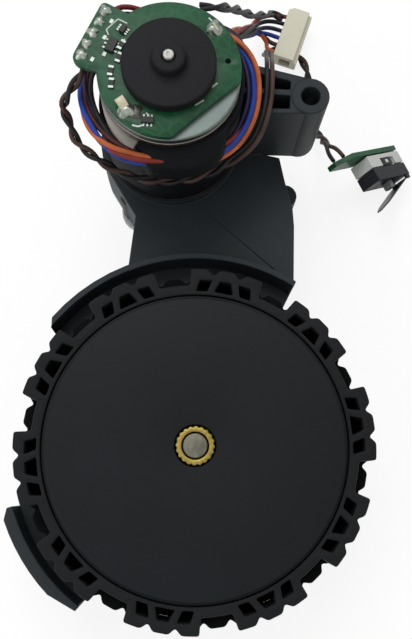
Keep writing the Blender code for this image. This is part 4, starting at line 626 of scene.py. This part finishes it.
hub_profile = (
    (rim - DISC_STEP, front), (rim - DISC_STEP, step_floor), (rim, step_floor), (rim, back),
    (inner_rim, back), (inner_rim, disc_back), (HUB_RADIUS, disc_back), (HUB_RADIUS, back),
    (HUB_BORE, back), (HUB_BORE, seat_floor), (insert_seat, seat_floor), (insert_seat, front),
)
hub_rounding = [DISC_EDGE] + [0.2 * MM] * (len(hub_profile) - 1)
wheel_face = turned("wheel_face", (0.0, 0.0), hub_profile, hub_rounding, wheel_black, 192)
placed(wheel_face, "wheel", "wheel_hub")


def spun(x, y, degrees):
    """Places turned about the origin: x cos a - y sin a and x sin a + y cos a."""
    angle = radians(degrees)
    return x * cos(angle) - y * sin(angle), x * sin(angle) + y * cos(angle)


RIB_SINK = 0.5 * MM
rib_low = back + 2 * MM
rib_high = disc_back + 0.6 * MM
rib_half = RIB_WALL / 2
rib_corners = ((-rib_half, rib_low), (rib_half, rib_low), (rib_half, rib_high), (-rib_half, rib_high))
rib_section = rounded(rib_corners, 0.25 * MM)[None]
rib_reach = np.array((HUB_RADIUS - RIB_SINK, inner_rim + RIB_SINK))[:, None]
for number in range(RIBS):
    rib_x, rib_y = spun(rib_reach, rib_section[..., 0], 360 * number / RIBS)
    rib_grid = np.stack(np.broadcast_arrays(rib_x, rib_y, rib_section[..., 1]), axis=-1)
    rib = skin(f"wheel_rib_{number + 1}", rib_grid, wheel_black, capped=True)
    placed(rib, "wheel", "wheel_hub")

TYRE_TIP = 36.0 * MM
TYRE_NOTCH = 34.7 * MM
TYRE_VALLEY = 32.6 * MM
TYRE_BORE = 30.55 * MM
HOLE_INNER = 31.4 * MM
HOLE_OUTER = 33.7 * MM
TREAD_GROUPS = 10
TREAD_PITCH = 360.0 / TREAD_GROUPS
TREAD_OFFSET = 10.3
TREAD_EDGE = 0.28 * MM
HOLE_FLOOR = 0.5 * MM
HOLE_FLOOR_INNER = 31.0 * MM
HOLE_FLOOR_OUTER = 34.2 * MM
HOLE_FLOOR_REACH = 11.0
tyre_centre, _, tyre_low, tyre_high = measured("tyre")
tyre_split = tyre_centre[2]


def circle(centre, radius, start=0.0, end=360.0, steps=48):
    """Points on a circle from one angle to another, without the last where it is whole."""
    angles = np.radians(np.linspace(start, end, steps, endpoint=abs(end - start) < 360))
    return np.stack((centre[0] + radius * np.cos(angles), centre[1] + radius * np.sin(angles)), axis=1)


def sheet_plate(name, outlines, bottom, top, edge, look):
    """A flat plate inside an outline and outside the ones after it, with a small rounded edge."""
    curve = bpy.data.curves.new(name, "CURVE")
    curve.dimensions = "2D"
    curve.fill_mode = "BOTH"
    curve.extrude = (top - bottom) / 2 - edge
    curve.bevel_depth = edge
    curve.bevel_resolution = 1
    curve.offset = -edge
    for outline in outlines:
        spline = curve.splines.new("POLY")
        spline.points.add(len(outline) - 1)
        flat = np.column_stack((outline, np.zeros(len(outline)), np.ones(len(outline))))
        spline.points.foreach_set("co", flat.ravel().tolist())
        spline.use_cyclic_u = True
    guide = shown(name + "_outline", curve)
    mesh = bpy.data.meshes.new_from_object(guide.evaluated_get(bpy.context.evaluated_depsgraph_get()))
    bpy.data.objects.remove(guide, do_unlink=True)
    mesh.transform(Matrix.Translation((0, 0, (top + bottom) / 2)))
    return finished(name, mesh, look, 30)


def polar(pairs, turn, rounding=0.0):
    """The rounded outline through (degrees, radius) corners about the wheel's axis, turned by degrees."""
    angles, radii = np.array(pairs, float).T
    angles = np.radians(angles + turn)
    corners = np.stack((radii * np.cos(angles), radii * np.sin(angles)), axis=1)
    return rounded(corners, rounding, 3) if rounding else corners


rubber = moulded_look("tyre_rubber_look", (0.005, 0.006, 0.007), (0.0105, 0.012, 0.0135),
                      0.66, 1200.0, 0.04, gloss=0.14)
# A darker, less glossy copy of the tyre rubber: painted shade for the back tread row, which lies deep in the
# wheel's well, and for the floors of the tread holes.
painted_shade_rubber = moulded_look("tyre_rubber_painted_shade", (0.0022, 0.0026, 0.003), (0.005, 0.0056, 0.0064),
                             0.75, 1200.0, 0.04, gloss=0.06)
tread_group = (
    (-12.6, TYRE_VALLEY), (-11.9, TYRE_TIP), (-9.2, TYRE_TIP), (-6.4, TYRE_TIP), (-4.4, TYRE_NOTCH),
    (-2.4, TYRE_TIP), (2.4, TYRE_TIP), (4.4, TYRE_NOTCH), (6.4, TYRE_TIP), (9.2, TYRE_TIP), (11.9, TYRE_TIP),
    (12.6, TYRE_VALLEY), (15.3, TYRE_VALLEY), (18.0, TYRE_VALLEY), (20.7, TYRE_VALLEY),
)
tread_holes = (((-10.3, -6.2), (-9.0, -4.7)), ((-3.5, 3.5), (-1.9, 1.9)), ((6.2, 10.3), (4.7, 9.0)))
hole_floor = ((-HOLE_FLOOR_REACH, HOLE_FLOOR_INNER), (HOLE_FLOOR_REACH, HOLE_FLOOR_INNER),
              (HOLE_FLOOR_REACH, HOLE_FLOOR_OUTER), (-HOLE_FLOOR_REACH, HOLE_FLOOR_OUTER))
for row, row_look, row_turn, row_low, row_high, floor_low in (
    ("front", rubber, TREAD_OFFSET, tyre_split, tyre_high, tyre_split + HOLE_FLOOR),
    # The back row takes the painted shade rubber.
    ("back", painted_shade_rubber, TREAD_OFFSET + TREAD_PITCH / 2, tyre_low, tyre_split,
     tyre_split - 2 * HOLE_FLOOR),
):
    steps = TREAD_PITCH * np.arange(TREAD_GROUPS)
    corners = [(angle + step, radius) for step in steps for angle, radius in tread_group]
    outlines = [polar(corners, row_turn, 0.5 * MM), circle((0.0, 0.0), TYRE_BORE, steps=160)]
    for step in steps:
        for inner, outer in tread_holes:
            hole = [(angle, HOLE_INNER) for angle in inner] + [(angle, HOLE_OUTER) for angle in outer[::-1]]
            outlines.append(polar(hole, row_turn + step, 0.3 * MM))
    tread = sheet_plate(f"tread_{row}_row", outlines, row_low, row_high, TREAD_EDGE, row_look)
    placed(tread, "wheel", "tyre")
    floors = [polar(hole_floor, row_turn + step) for step in steps]
    # The hole floors take the painted shade rubber.
    floor = sheet_plate(f"tread_{row}_hole_floor", floors, floor_low, floor_low + HOLE_FLOOR, 0.02 * MM,
                        painted_shade_rubber)
    placed(floor, "wheel", "tyre")


# Brass insert and shaft. The insert is turned and knurled brass, moulded into the hub; the steel
# shaft that drives it ends just below its top, with a chamfered end.
KNURLS = 20
KNURL_DEPTH = 0.22 * MM
INSERT_HOLE = 2.7 * MM
brass = metal_look("knurled_brass", (0.17, 0.125, 0.03), (0.36, 0.28, 0.075), 0.42)
insert_profile = rounded(
    ((insert_radius, insert_high), (insert_radius, insert_low), (INSERT_HOLE, insert_low),
     (INSERT_HOLE, insert_high)), (0.45 * MM, 0.3 * MM, 0.2 * MM, 0.3 * MM))
insert_grid = turned_grid((0.0, 0.0), insert_profile, KNURLS * 16)
groove = np.abs(np.sin(round_angles(KNURLS * 16) * KNURLS / 2)) ** 3
outside = eased(insert_profile[None, :, 0], insert_radius - 0.6 * MM, insert_radius - 0.1 * MM)
inward = 1 - KNURL_DEPTH * groove * outside / insert_radius
insert_grid[..., :2] *= inward[..., None]
placed(skin("brass_insert", insert_grid, brass, ring=True, crease=45), "wheel", "hub_insert")

_, (_, shaft_radius, _), shaft_low, shaft_high = measured("output_shaft")
shaft_profile = ((0.0, shaft_high), (shaft_radius, shaft_high), (shaft_radius, shaft_low), (0.0, shaft_low))
shaft_rounding = (0.0, 0.35 * MM, 0.3 * MM, 0.0)
drive_steel = metal_look("shaft_steel", (0.085, 0.08, 0.062), (0.2, 0.19, 0.155), 0.5, (1, 1, 0.05), 900.0)
placed(turned("drive_shaft", (0.0, 0.0), shaft_profile, shaft_rounding, drive_steel, crease=35),
       "wheel", "output_shaft")


# Gear train. White nylon gears on steel pins between the two shells, brass bushes for the wheel's
# shaft and a brass pinion on the motor's; they turn out of sight and keep their CAD solids.
nylon = moulded_look("gear_nylon_look", (0.66, 0.65, 0.6), (0.76, 0.75, 0.7), 0.42, 1500.0, 0.01)
keep_solid(nylon, "output_gear", "gear_a", "gear_b", "gear_c")
keep_solid(steel, "gear_pin_a", "gear_pin_b", "gear_pin_c")
keep_solid(brass, "output_bush_front", "output_bush_back", "motor_pinion")


# Motor. A drawn steel can closed by a pressed end bell, with curved ferrite magnets round a copper
# wound armature; black tape is wound over the can and over the wires where they cross in front.
CAN_WALL = 1.0 * MM
CAN_COLLAR = 5 * MM
CAN_COLLAR_RISE = 1.6 * MM
motor_centre, (can_radius, _, _), can_low, can_high = measured("motor_can")
can_end = can_low + CAN_COLLAR_RISE
can_floor = can_end + CAN_WALL
# The can's steel is tinted warm brown: a painted reflection of the orange wires wound round it.
motor_steel = metal_look("motor_can_steel", (0.2, 0.17, 0.14), (0.31, 0.27, 0.24), 0.42, (1, 1, 0.08))
bell_steel = metal_look("end_bell_steel", (0.115, 0.14, 0.13), (0.165, 0.2, 0.185), 0.45)
_, _, bell_low, bell_high = measured("motor_end_bell")
bell_top = bell_high - 1.0 * MM
shaft_way = 1.25 * MM
can_profile = (
    (can_radius, can_high), (can_radius, can_end), (can_radius - 0.8 * MM, can_end), (CAN_COLLAR, can_end),
    (CAN_COLLAR, can_low), (shaft_way, can_low), (shaft_way, can_floor),
    (can_radius - CAN_WALL, can_floor), (can_radius - CAN_WALL, can_high),
)
can_rounding = [0.25 * MM, 0.9 * MM, 0.1 * MM] + [0.3 * MM] * 6
placed(turned("motor_shell", motor_centre, can_profile, can_rounding, motor_steel),
       "housing", "motor_can")
bell_profile = (
    (3 * MM, bell_high), (3 * MM, bell_top), (can_radius, bell_top), (can_radius, bell_low),
    (shaft_way, bell_low), (shaft_way, bell_high),
)
bell_rounding = (0.3 * MM, 0.4 * MM, 0.4 * MM, 0.1 * MM, 0.1 * MM, 0.2 * MM)
placed(turned("motor_bell", motor_centre, bell_profile, bell_rounding, bell_steel),
       "housing", "motor_end_bell")

TAPE_ROWS = 240
TAPE_THICKNESS = 0.35 * MM
TAPE_BULGE = 3.0 * MM
TAPE_FOLD = 0.22 * MM
TAPE_STEP = 0.18 * MM
TAPE_BARE = 10 * MM
TAPE_BARE_SECTOR = (150, 172, 236, 250)
TAPE_WIRE_SECTOR = (243, 262, 306, 326)
_, (tape_outer, _, _), tape_low, tape_high = measured("tape_wrap")
tape_inner = can_radius + 0.15 * MM
tape_angles = round_angles(TAPE_ROWS)
turn_degrees = np.degrees(tape_angles)
bare = hump(turn_degrees, *TAPE_BARE_SECTOR)
tape_rows = np.linspace(0.0, 1.0, 60)[None, :]
tape_heights = tape_low + tape_rows * (tape_high - tape_low - TAPE_BARE * bare)
sector = hump(turn_degrees, *TAPE_WIRE_SECTOR)
over_wires = hump(tape_heights, tape_low + 17 * MM, tape_low + 21 * MM, tape_high - 3.0 * MM,
                  tape_high - 0.3 * MM)
bulge = TAPE_BULGE * sector * over_wires
waves = np.sin(tape_heights / MM * 1.1 + 2.2 * np.sin(tape_angles * 2) + tape_angles * 3)
folds = TAPE_FOLD * np.abs(waves * (0.35 + sector))
overlap = TAPE_STEP * eased(np.sin(tape_angles - tape_heights / (14 * MM)), -0.02, 0.02)
tape_under = tape_inner + np.maximum(bulge - TAPE_THICKNESS, 0.0)
tape_grid = np.concatenate((
    about_axis(motor_centre, tape_outer + bulge + overlap + folds, tape_angles, tape_heights),
    about_axis(motor_centre, tape_under, tape_angles, tape_heights)[:, ::-1]), axis=1)
tape_black = moulded_look("tape_black_look", (0.003, 0.0036, 0.0046), (0.007, 0.008, 0.0095),
                          0.66, 700.0, 0.04, gloss=0.1)
placed(skin("motor_tape", tape_grid, tape_black, ring=True, crease=50), "housing", "tape_wrap")

ferrite = moulded_look("ferrite_grey", (0.02, 0.019, 0.02), (0.034, 0.033, 0.034), 0.55, 1300.0, 0.015)
copper = metal_look("wound_copper", (0.42, 0.16, 0.07), (0.62, 0.27, 0.13), 0.35)
keep_solid(ferrite, "field_magnet_left", "field_magnet_right")
keep_solid(copper, "armature", "commutator")


# Encoder magnet and the motor shaft's end. The magnet is a charcoal moulded ferrite disc with a
# raised hub, pressed on the ground steel shaft, whose end stands a little proud of the hub.
MAGNET_HUB = 3.4 * MM
MAGNET_HUB_RISE = 2.2 * MM
magnet_centre, (magnet_radius, _, _), magnet_low, hub_top = measured("encoder_magnet")
magnet_top = hub_top - MAGNET_HUB_RISE
magnet_profile = (
    (magnet_radius, magnet_top), (magnet_radius, magnet_low), (shaft_way, magnet_low),
    (shaft_way, hub_top), (MAGNET_HUB - 0.3 * MM, hub_top), (MAGNET_HUB, magnet_top + 0.2 * MM),
    (MAGNET_HUB + 0.5 * MM, magnet_top),
)
magnet_rounding = (0.4 * MM, 0.2 * MM, 0.2 * MM, 0.25 * MM, 0.5 * MM, 0.3 * MM, 0.3 * MM)
magnet_grey = moulded_look("magnet_charcoal", (0.0066, 0.006, 0.0072), (0.0115, 0.0105, 0.0124),
                           0.54, 1500.0, gloss=0.11)
placed(turned("sensor_magnet", magnet_centre, magnet_profile, magnet_rounding, magnet_grey, 128, 24),
       "rotor", "encoder_magnet")
rotor_centre, (rotor_radius, _, _), rotor_low, rotor_high = measured("motor_shaft")
rotor_steel = metal_look("rotor_shaft_steel", (0.16, 0.16, 0.145), (0.44, 0.43, 0.4), 0.5, (1, 1, 0.05),
                         1500.0)
rotor_profile = (
    (0.0, rotor_high - 0.12 * MM), (0.45 * MM, rotor_high), (rotor_radius, rotor_high),
    (rotor_radius, rotor_low), (0.0, rotor_low),
)
rotor_rounding = (0.0, 0.1 * MM, 0.25 * MM, 0.2 * MM, 0.0)
placed(turned("rotor_shaft", rotor_centre, rotor_profile, rotor_rounding, rotor_steel, 48),
       "rotor", "motor_shaft")


# Encoder board. A green fibreglass board on the motor's end bell, with a tab at the upper left for
# the wires' solder joints, small parts beside the magnet and two soldered motor terminals.
BOARD_THICKNESS = 1.2 * MM
INK_RISE = 0.03 * MM
PAD_TURN = 65
RESISTOR_REACH = 0.78
RESISTOR_EDGE = 0.06 * MM
LEG_STEP = 0.62
LEG_REACH = 0.25
BOARD_HOLE = 3.6 * MM
SMALL_HOLE = 0.55 * MM
TERMINAL_HOLE = 1.3 * MM
_, _, board_low, _ = measured("encoder_board")
board_top = board_low + BOARD_THICKNESS


def board_spot(x, y):
    """A place on the board, in millimetres from the motor's axis."""
    return (motor_centre[0] + x * MM, motor_centre[1] + y * MM)


def board_look(name):
    """Green solder mask over copper: darker between the tracks, which show as faint paler lines."""
    made, where = piece_look(name)
    cloud = noise(where, 120.0, 4.0)
    cells = where.node("ShaderNodeTexVoronoi", {"Vector": where, "Scale": 420.0},
                       {"feature": "DISTANCE_TO_EDGE", "distance": "MANHATTAN"})
    track = cells < 0.09
    ground = two_toned(cloud, 0.3, (0.005, 0.045, 0.017), 0.7, (0.01, 0.08, 0.031))
    tone = where.node("ShaderNodeMix", {0: track * 0.3, 6: ground, 7: (0.02, 0.13, 0.06, 1)},
                      {"data_type": "RGBA"}, 2)
    return surfaced(made, tone, 0.3 + cloud * 0.14, track, 0.3, 0.02 * MM, Specular_IOR_Level=0.22)


solder_mask = board_look("solder_mask_green")
board_radius = can_radius - 0.05 * MM
board_round = circle(motor_centre, board_radius, -7, 128, 64)
board_lower = circle(motor_centre, board_radius, 186, 274, 44)
tab_corners = [board_spot(x, y) for x, y in ((-13.5, 13.2), (-18.6, 1.3), (-17.5, -0.4))]
board_tab = [board_round[-1], *tab_corners, board_lower[0]]
board_edge = np.vstack((board_round, rounded(board_tab, 1.2 * MM)[5:20], board_lower))
terminals = [measured(f"motor_terminal_{side}")[0][:2] for side in ("right", "left")]
board_holes = [circle(motor_centre, BOARD_HOLE), circle(board_spot(11.1, 2.2), SMALL_HOLE, steps=24)]
board_holes += [circle(place, TERMINAL_HOLE, steps=24) for place in terminals]
sensor_board = sheet_plate("sensor_board", [board_edge] + board_holes, board_low, board_top, 0.08 * MM,
                           solder_mask)
placed(sensor_board, "housing", "encoder_board")

solder = metal_look("dull_solder", (0.1, 0.13, 0.1), (0.46, 0.5, 0.44), 0.36, grain=1500.0)
tinned = metal_look("tinned_pad", (0.19, 0.22, 0.19), (0.4, 0.43, 0.39), 0.45, grain=1500.0)
ink = moulded_look("legend_white", (0.42, 0.5, 0.44), (0.66, 0.72, 0.66), 0.55, 1800.0, 0.006)
chip_black = moulded_look("chip_black_look", (0.01, 0.012, 0.011), (0.02, 0.024, 0.022),
                          0.45, 1800.0, 0.01, gloss=0.25)


def on_board(made):
    """Puts a piece in the place of the board, which carries its joints, parts and legend."""
    placed(made, "housing", "encoder_board")


def soft_box(half_length, half_width, low, high, edge, top_edge):
    """The x, y and z of a box about the origin: rounded upright corners, and level edges that are cut
    back by half the rounding."""
    outline = rounded(SQUARE * (half_length, half_width), edge, 3)[:, None]
    inner = 1.0 - 0.5 * edge / half_width
    share, height = np.array(((0.0, low), (inner, low), (1.0, low + 0.5 * edge), (1.0, high - top_edge),
                              (inner, high), (0.0, high))).T
    return np.broadcast_arrays(outline[..., 0] * share, outline[..., 1] * share, height)


def turned_box(name, place, size, turn, bottom, look, edge=0.1 * MM):
    """A small soft box turned by an angle in degrees; its size is half its length, half its width and
    its height, in millimetres."""
    half_length, half_width, height = (part * MM for part in size)
    x, y, z = soft_box(half_length, half_width, bottom, bottom + height, edge, edge)
    x, y = spun(x, y, turn)
    grid = np.stack((place[0] + x, place[1] + y, z), axis=-1)
    return skin(name, grid, look, ring=True, round_rows=False, crease=40)


def blob(name, place, radius, height, bottom, look, seed):
    """A solder fillet: r = R (1 - t)^0.55 (1 + two slow waves), z = bottom + H t^0.9, t from 0 to 1."""
    angles = round_angles(32)
    share = np.linspace(0.0, 1.0, 12)[None, :]
    wave = 1 + 0.13 * np.sin(3 * angles + seed) + 0.08 * np.sin(5 * angles + 2.3 * seed + 4 * share)
    radii = radius * (1 - share) ** 0.55 * wave
    floor = about_axis(place, 0.0, angles, bottom)
    grid = np.concatenate((floor, about_axis(place, radii, angles, bottom + height * share**0.9)), axis=1)
    return skin(name, grid, look, ring=True, round_rows=False, crease=60)


for number, (x, y, radius) in enumerate((
    (-12.9, 11.2, 1.15), (-13.8, 8.9, 1.05), (-14.9, 6.6, 1.15), (-15.9, 4.2, 1.05), (-16.8, 1.9, 1.15),
), 1):
    on_board(blob(f"tab_joint_{number}", board_spot(x, y), radius * MM, 0.75 * MM, board_top, solder,
                  1.7 * number))
for number, (x, y) in enumerate(((-11.5, 9.0), (-12.6, 5.6), (-14.6, 1.0), (-12.4, 2.2)), 1):
    on_board(turned_box(f"white_pad_{number}", board_spot(x, y), (0.5, 0.38, 0.16), PAD_TURN, board_top,
                        tinned))
for number, (x, y, turn) in enumerate((
    (-11.0, -1.2, 84), (-10.7, -3.7, 88), (-9.3, 4.2, 62), (-9.6, 1.6, 72),
), 1):
    on_board(turned_box(f"resistor_body_{number}", board_spot(x, y), (0.62, 0.48, 0.45), turn, board_top,
                        chip_black, RESISTOR_EDGE))
    for end in (-1, 1):
        aside, above = spun(end * RESISTOR_REACH, 0.0, turn)
        on_board(turned_box(f"resistor_end_{number}_{end + 2}", board_spot(x + aside, y + above),
                            (0.24, 0.52, 0.5), turn, board_top, tinned, RESISTOR_EDGE))

for number, (half_length, half_width, turn) in enumerate(((0.8, 0.55, 60), (1.4, 0.9, 70), (1.2, 0.6, 0)), 1):
    node = f"board_chip_{number}"
    chip_centre = measured(node)[0]
    body = turned_box(f"chip_body_{number}", chip_centre, (half_length, half_width, 0.7), turn,
                      board_top + 0.05 * MM, chip_black)
    placed(body, "housing", node)
    for side in (-1, 1):
        for leg in (-1, 0, 1):
            x, y = spun(leg * LEG_STEP * half_length, side * (half_width + LEG_REACH), turn)
            foot = (chip_centre[0] + x * MM, chip_centre[1] + y * MM)
            made = turned_box(f"chip_leg_{number}_{side + 2}_{leg + 2}", foot, (0.17, 0.34, 0.22), turn,
                              board_top, tinned, 0.04 * MM)
            placed(made, "housing", node)


def ink_line(name, points, width):
    """A flat printed line along points on the board, in millimetres."""
    path = np.array([(*board_spot(x, y), board_top) for x, y in points])
    path = evenly(path, 0.25 * MM)
    ahead = unit(np.gradient(path, axis=0))
    across = np.stack((-ahead[:, 1], ahead[:, 0], np.zeros(len(path))), axis=1) * width * MM / 2
    lift = np.array((0.0, 0.0, INK_RISE))
    grid = np.stack((path - across, path - across + lift, path + across + lift, path + across), axis=1)
    on_board(skin(name, grid, ink, capped=True))


ink_line("legend_box", ((-11.9, 6.2), (-12.4, 7.3), (-10.3, 9.6), (-8.5, 8.8)), 0.22)
ink_line("legend_box_side", ((-11.0, 5.2), (-9.6, 4.4), (-8.7, 5.6)), 0.22)
ink_line("legend_terminal", ((-6.26, -11.71), (-5.12, -11.95), (-4.21, -11.59), (-3.16, -10.34),
                             (-3.21, -9.55), (-3.8, -9.18)), 0.32)
ink_line("legend_dash_1", ((5.3, -7.1), (6.9, -6.0)), 0.35)
ink_line("legend_dash_2", ((8.3, -3.3), (9.3, -2.4)), 0.35)
ink_line("legend_dash_3", ((7.0, 10.9), (8.4, 9.6)), 0.3)


# Motor terminals. Brass blades that come up from the end bell through the board, bent over and
# soldered; the left one is wide and stands in a pool of burnt flux.
LEFT_BLADE_WIDTH = 1.84 * MM
RIGHT_BLADE_WIDTH = 1.61 * MM
TERMINAL_THICKNESS = 0.35 * MM


flux = moulded_look("burnt_flux", (0.01, 0.009, 0.007), (0.05, 0.045, 0.035), 0.25, 900.0, 0.05)
tin_brass = metal_look("tinned_brass", (0.42, 0.37, 0.24), (0.66, 0.62, 0.48), 0.3)
right_spot, left_spot = terminals


def blade(name, spot, bends, across, width):
    """A terminal's blade: a rounded rectangle, wide in a fixed direction, that is carried from the end
    bell up through the board and over its bends. Each bend is a step aside from its spot and a height
    over the board, in millimetres."""
    bell_seat = (spot[0] / MM, spot[1] / MM, bell_top / MM + 0.3)
    over = [(spot[0] / MM + x, spot[1] / MM + y, board_top / MM + z) for x, y, z in bends]
    path = smooth_route((bell_seat, *over), 0.25 * MM)
    section = rounded(SQUARE * (width / 2, TERMINAL_THICKNESS / 2), TERMINAL_THICKNESS * 0.3, 2)
    ahead = unit(np.gradient(path, axis=0))
    wide = unit(np.array(across) - ahead * (ahead @ np.array(across))[:, None])
    normal = np.cross(ahead, wide)
    grid = path[:, None] + wide[:, None] * section[None, :, :1] + normal[:, None] * section[None, :, 1:]
    return skin(name, grid, tin_brass, capped=True, crease=40)


for made in (
    blade("left_terminal_blade", left_spot, ((0.0, 0.0, 0.3), (-0.5, 0.5, 1.3), (-1.4, 1.6, 1.7)),
          (0.72, 0.69, 0.0), LEFT_BLADE_WIDTH),
    blob("left_terminal_solder", left_spot, 1.75 * MM, 1.0 * MM, board_top, solder, 2.0),
    blob("left_terminal_flux", (left_spot[0] + 1.7 * MM, left_spot[1] - 0.3 * MM), 1.5 * MM, 0.25 * MM,
         board_top, flux, 5.0),
):
    placed(made, "housing", "motor_terminal_left")
for made in (
    blade("right_terminal_blade", right_spot, ((0.0, 0.0, 0.2), (0.2, -0.2, 1.1)), (0.69, -0.72, 0.0),
          RIGHT_BLADE_WIDTH),
    blob("right_terminal_solder", right_spot, 1.6 * MM, 0.9 * MM, board_top, solder, 3.1),
):
    placed(made, "housing", "motor_terminal_right")


# Micro switch. A snap switch with a pale lower case and a black cover, soldered on its own small
# green board; its bent steel lever swings on two lugs and presses a small plunger.
switch_white = moulded_look("switch_pale_case", (0.42, 0.44, 0.42), (0.56, 0.58, 0.55), 0.48, 1600.0, 0.01)
switch_dark = moulded_look("switch_black_case", (0.009, 0.0095, 0.012), (0.016, 0.017, 0.0205),
                           0.42, 1600.0, 0.01, gloss=0.22)
lever_steel = metal_look("lever_steel", (0.035, 0.036, 0.04), (0.095, 0.096, 0.1), 0.38)
# A paler copy of the lever's steel: a painted highlight, laid on the lever as a thin strip.
lever_highlight_steel = metal_look("painted_highlight_steel", (0.2, 0.21, 0.21), (0.34, 0.35, 0.35), 0.34)
button_grey = moulded_look("switch_button_grey", (0.1, 0.11, 0.11), (0.17, 0.18, 0.18), 0.5, 1600.0, 0.01)
moulded_copy("switch_case", "switch_base", switch_white, "housing", 0.15 * MM)
moulded_copy("switch_lid", "switch_cover", switch_dark, "housing", 0.15 * MM)
moulded_copy("switch_carrier", "switch_board", solder_mask, "housing", 0.08 * MM)
moulded_copy("switch_button", "switch_plunger", button_grey, "plunger", 0.15 * MM)
moulded_copy("switch_blade", "switch_lever", lever_steel, "lever", 0.05 * MM)

SWITCH_ORIGIN = np.array((34.09, 69.06, 7.773)) * MM
SWITCH_AXES = np.array(((0.69626, 0.3912, -0.60182), (0.52467, 0.29479, 0.79864), (0.48984, -0.87181, 0.0)))
LEVER_PIVOT = (12.0, 2.9, 7.15)
LEVER_OPENING = 22.8


def switch_piece(name, low, high, look, edge, lift=0.0):
    """A soft box between two corners in the switch's own axes, in millimetres, turned about its lever's
    pivot by an angle in degrees."""
    low, high, pivot = (np.array(place) * MM for place in (low, high, LEVER_PIVOT))
    half = (high - low) / 2
    middle = (low + high) / 2 - pivot
    u, v, w = soft_box(half[0], half[1], -half[2], half[2], edge, edge / 2)
    u, w = spun(middle[0] + u, middle[2] + w, lift)
    grid = np.stack((u, middle[1] + v, w), axis=-1) + pivot
    return skin(name, SWITCH_ORIGIN + grid @ SWITCH_AXES, look, ring=True, round_rows=False, crease=40)


pin_frame = switch_piece("switch_pin_frame", (4.3, 5.2, 1.1), (8.4, 5.86, 3.15), switch_dark, 0.12 * MM)
pin = switch_piece("switch_pin", (5.9, 5.3, 1.7), (6.9, 5.98, 2.6), switch_white, 0.08 * MM)
# A thin strip along the lever in the paler steel: a painted highlight.
lever_highlight_strip = switch_piece("lever_painted_highlight_strip", (-2.6, 2.7, 7.25), (9.0, 3.1, 7.38), lever_highlight_steel, 0.04 * MM,
                          -LEVER_OPENING)
placed(pin_frame, "housing", "switch_base")
placed(pin, "housing", "switch_base")
placed(lever_highlight_strip, "lever", "switch_lever")
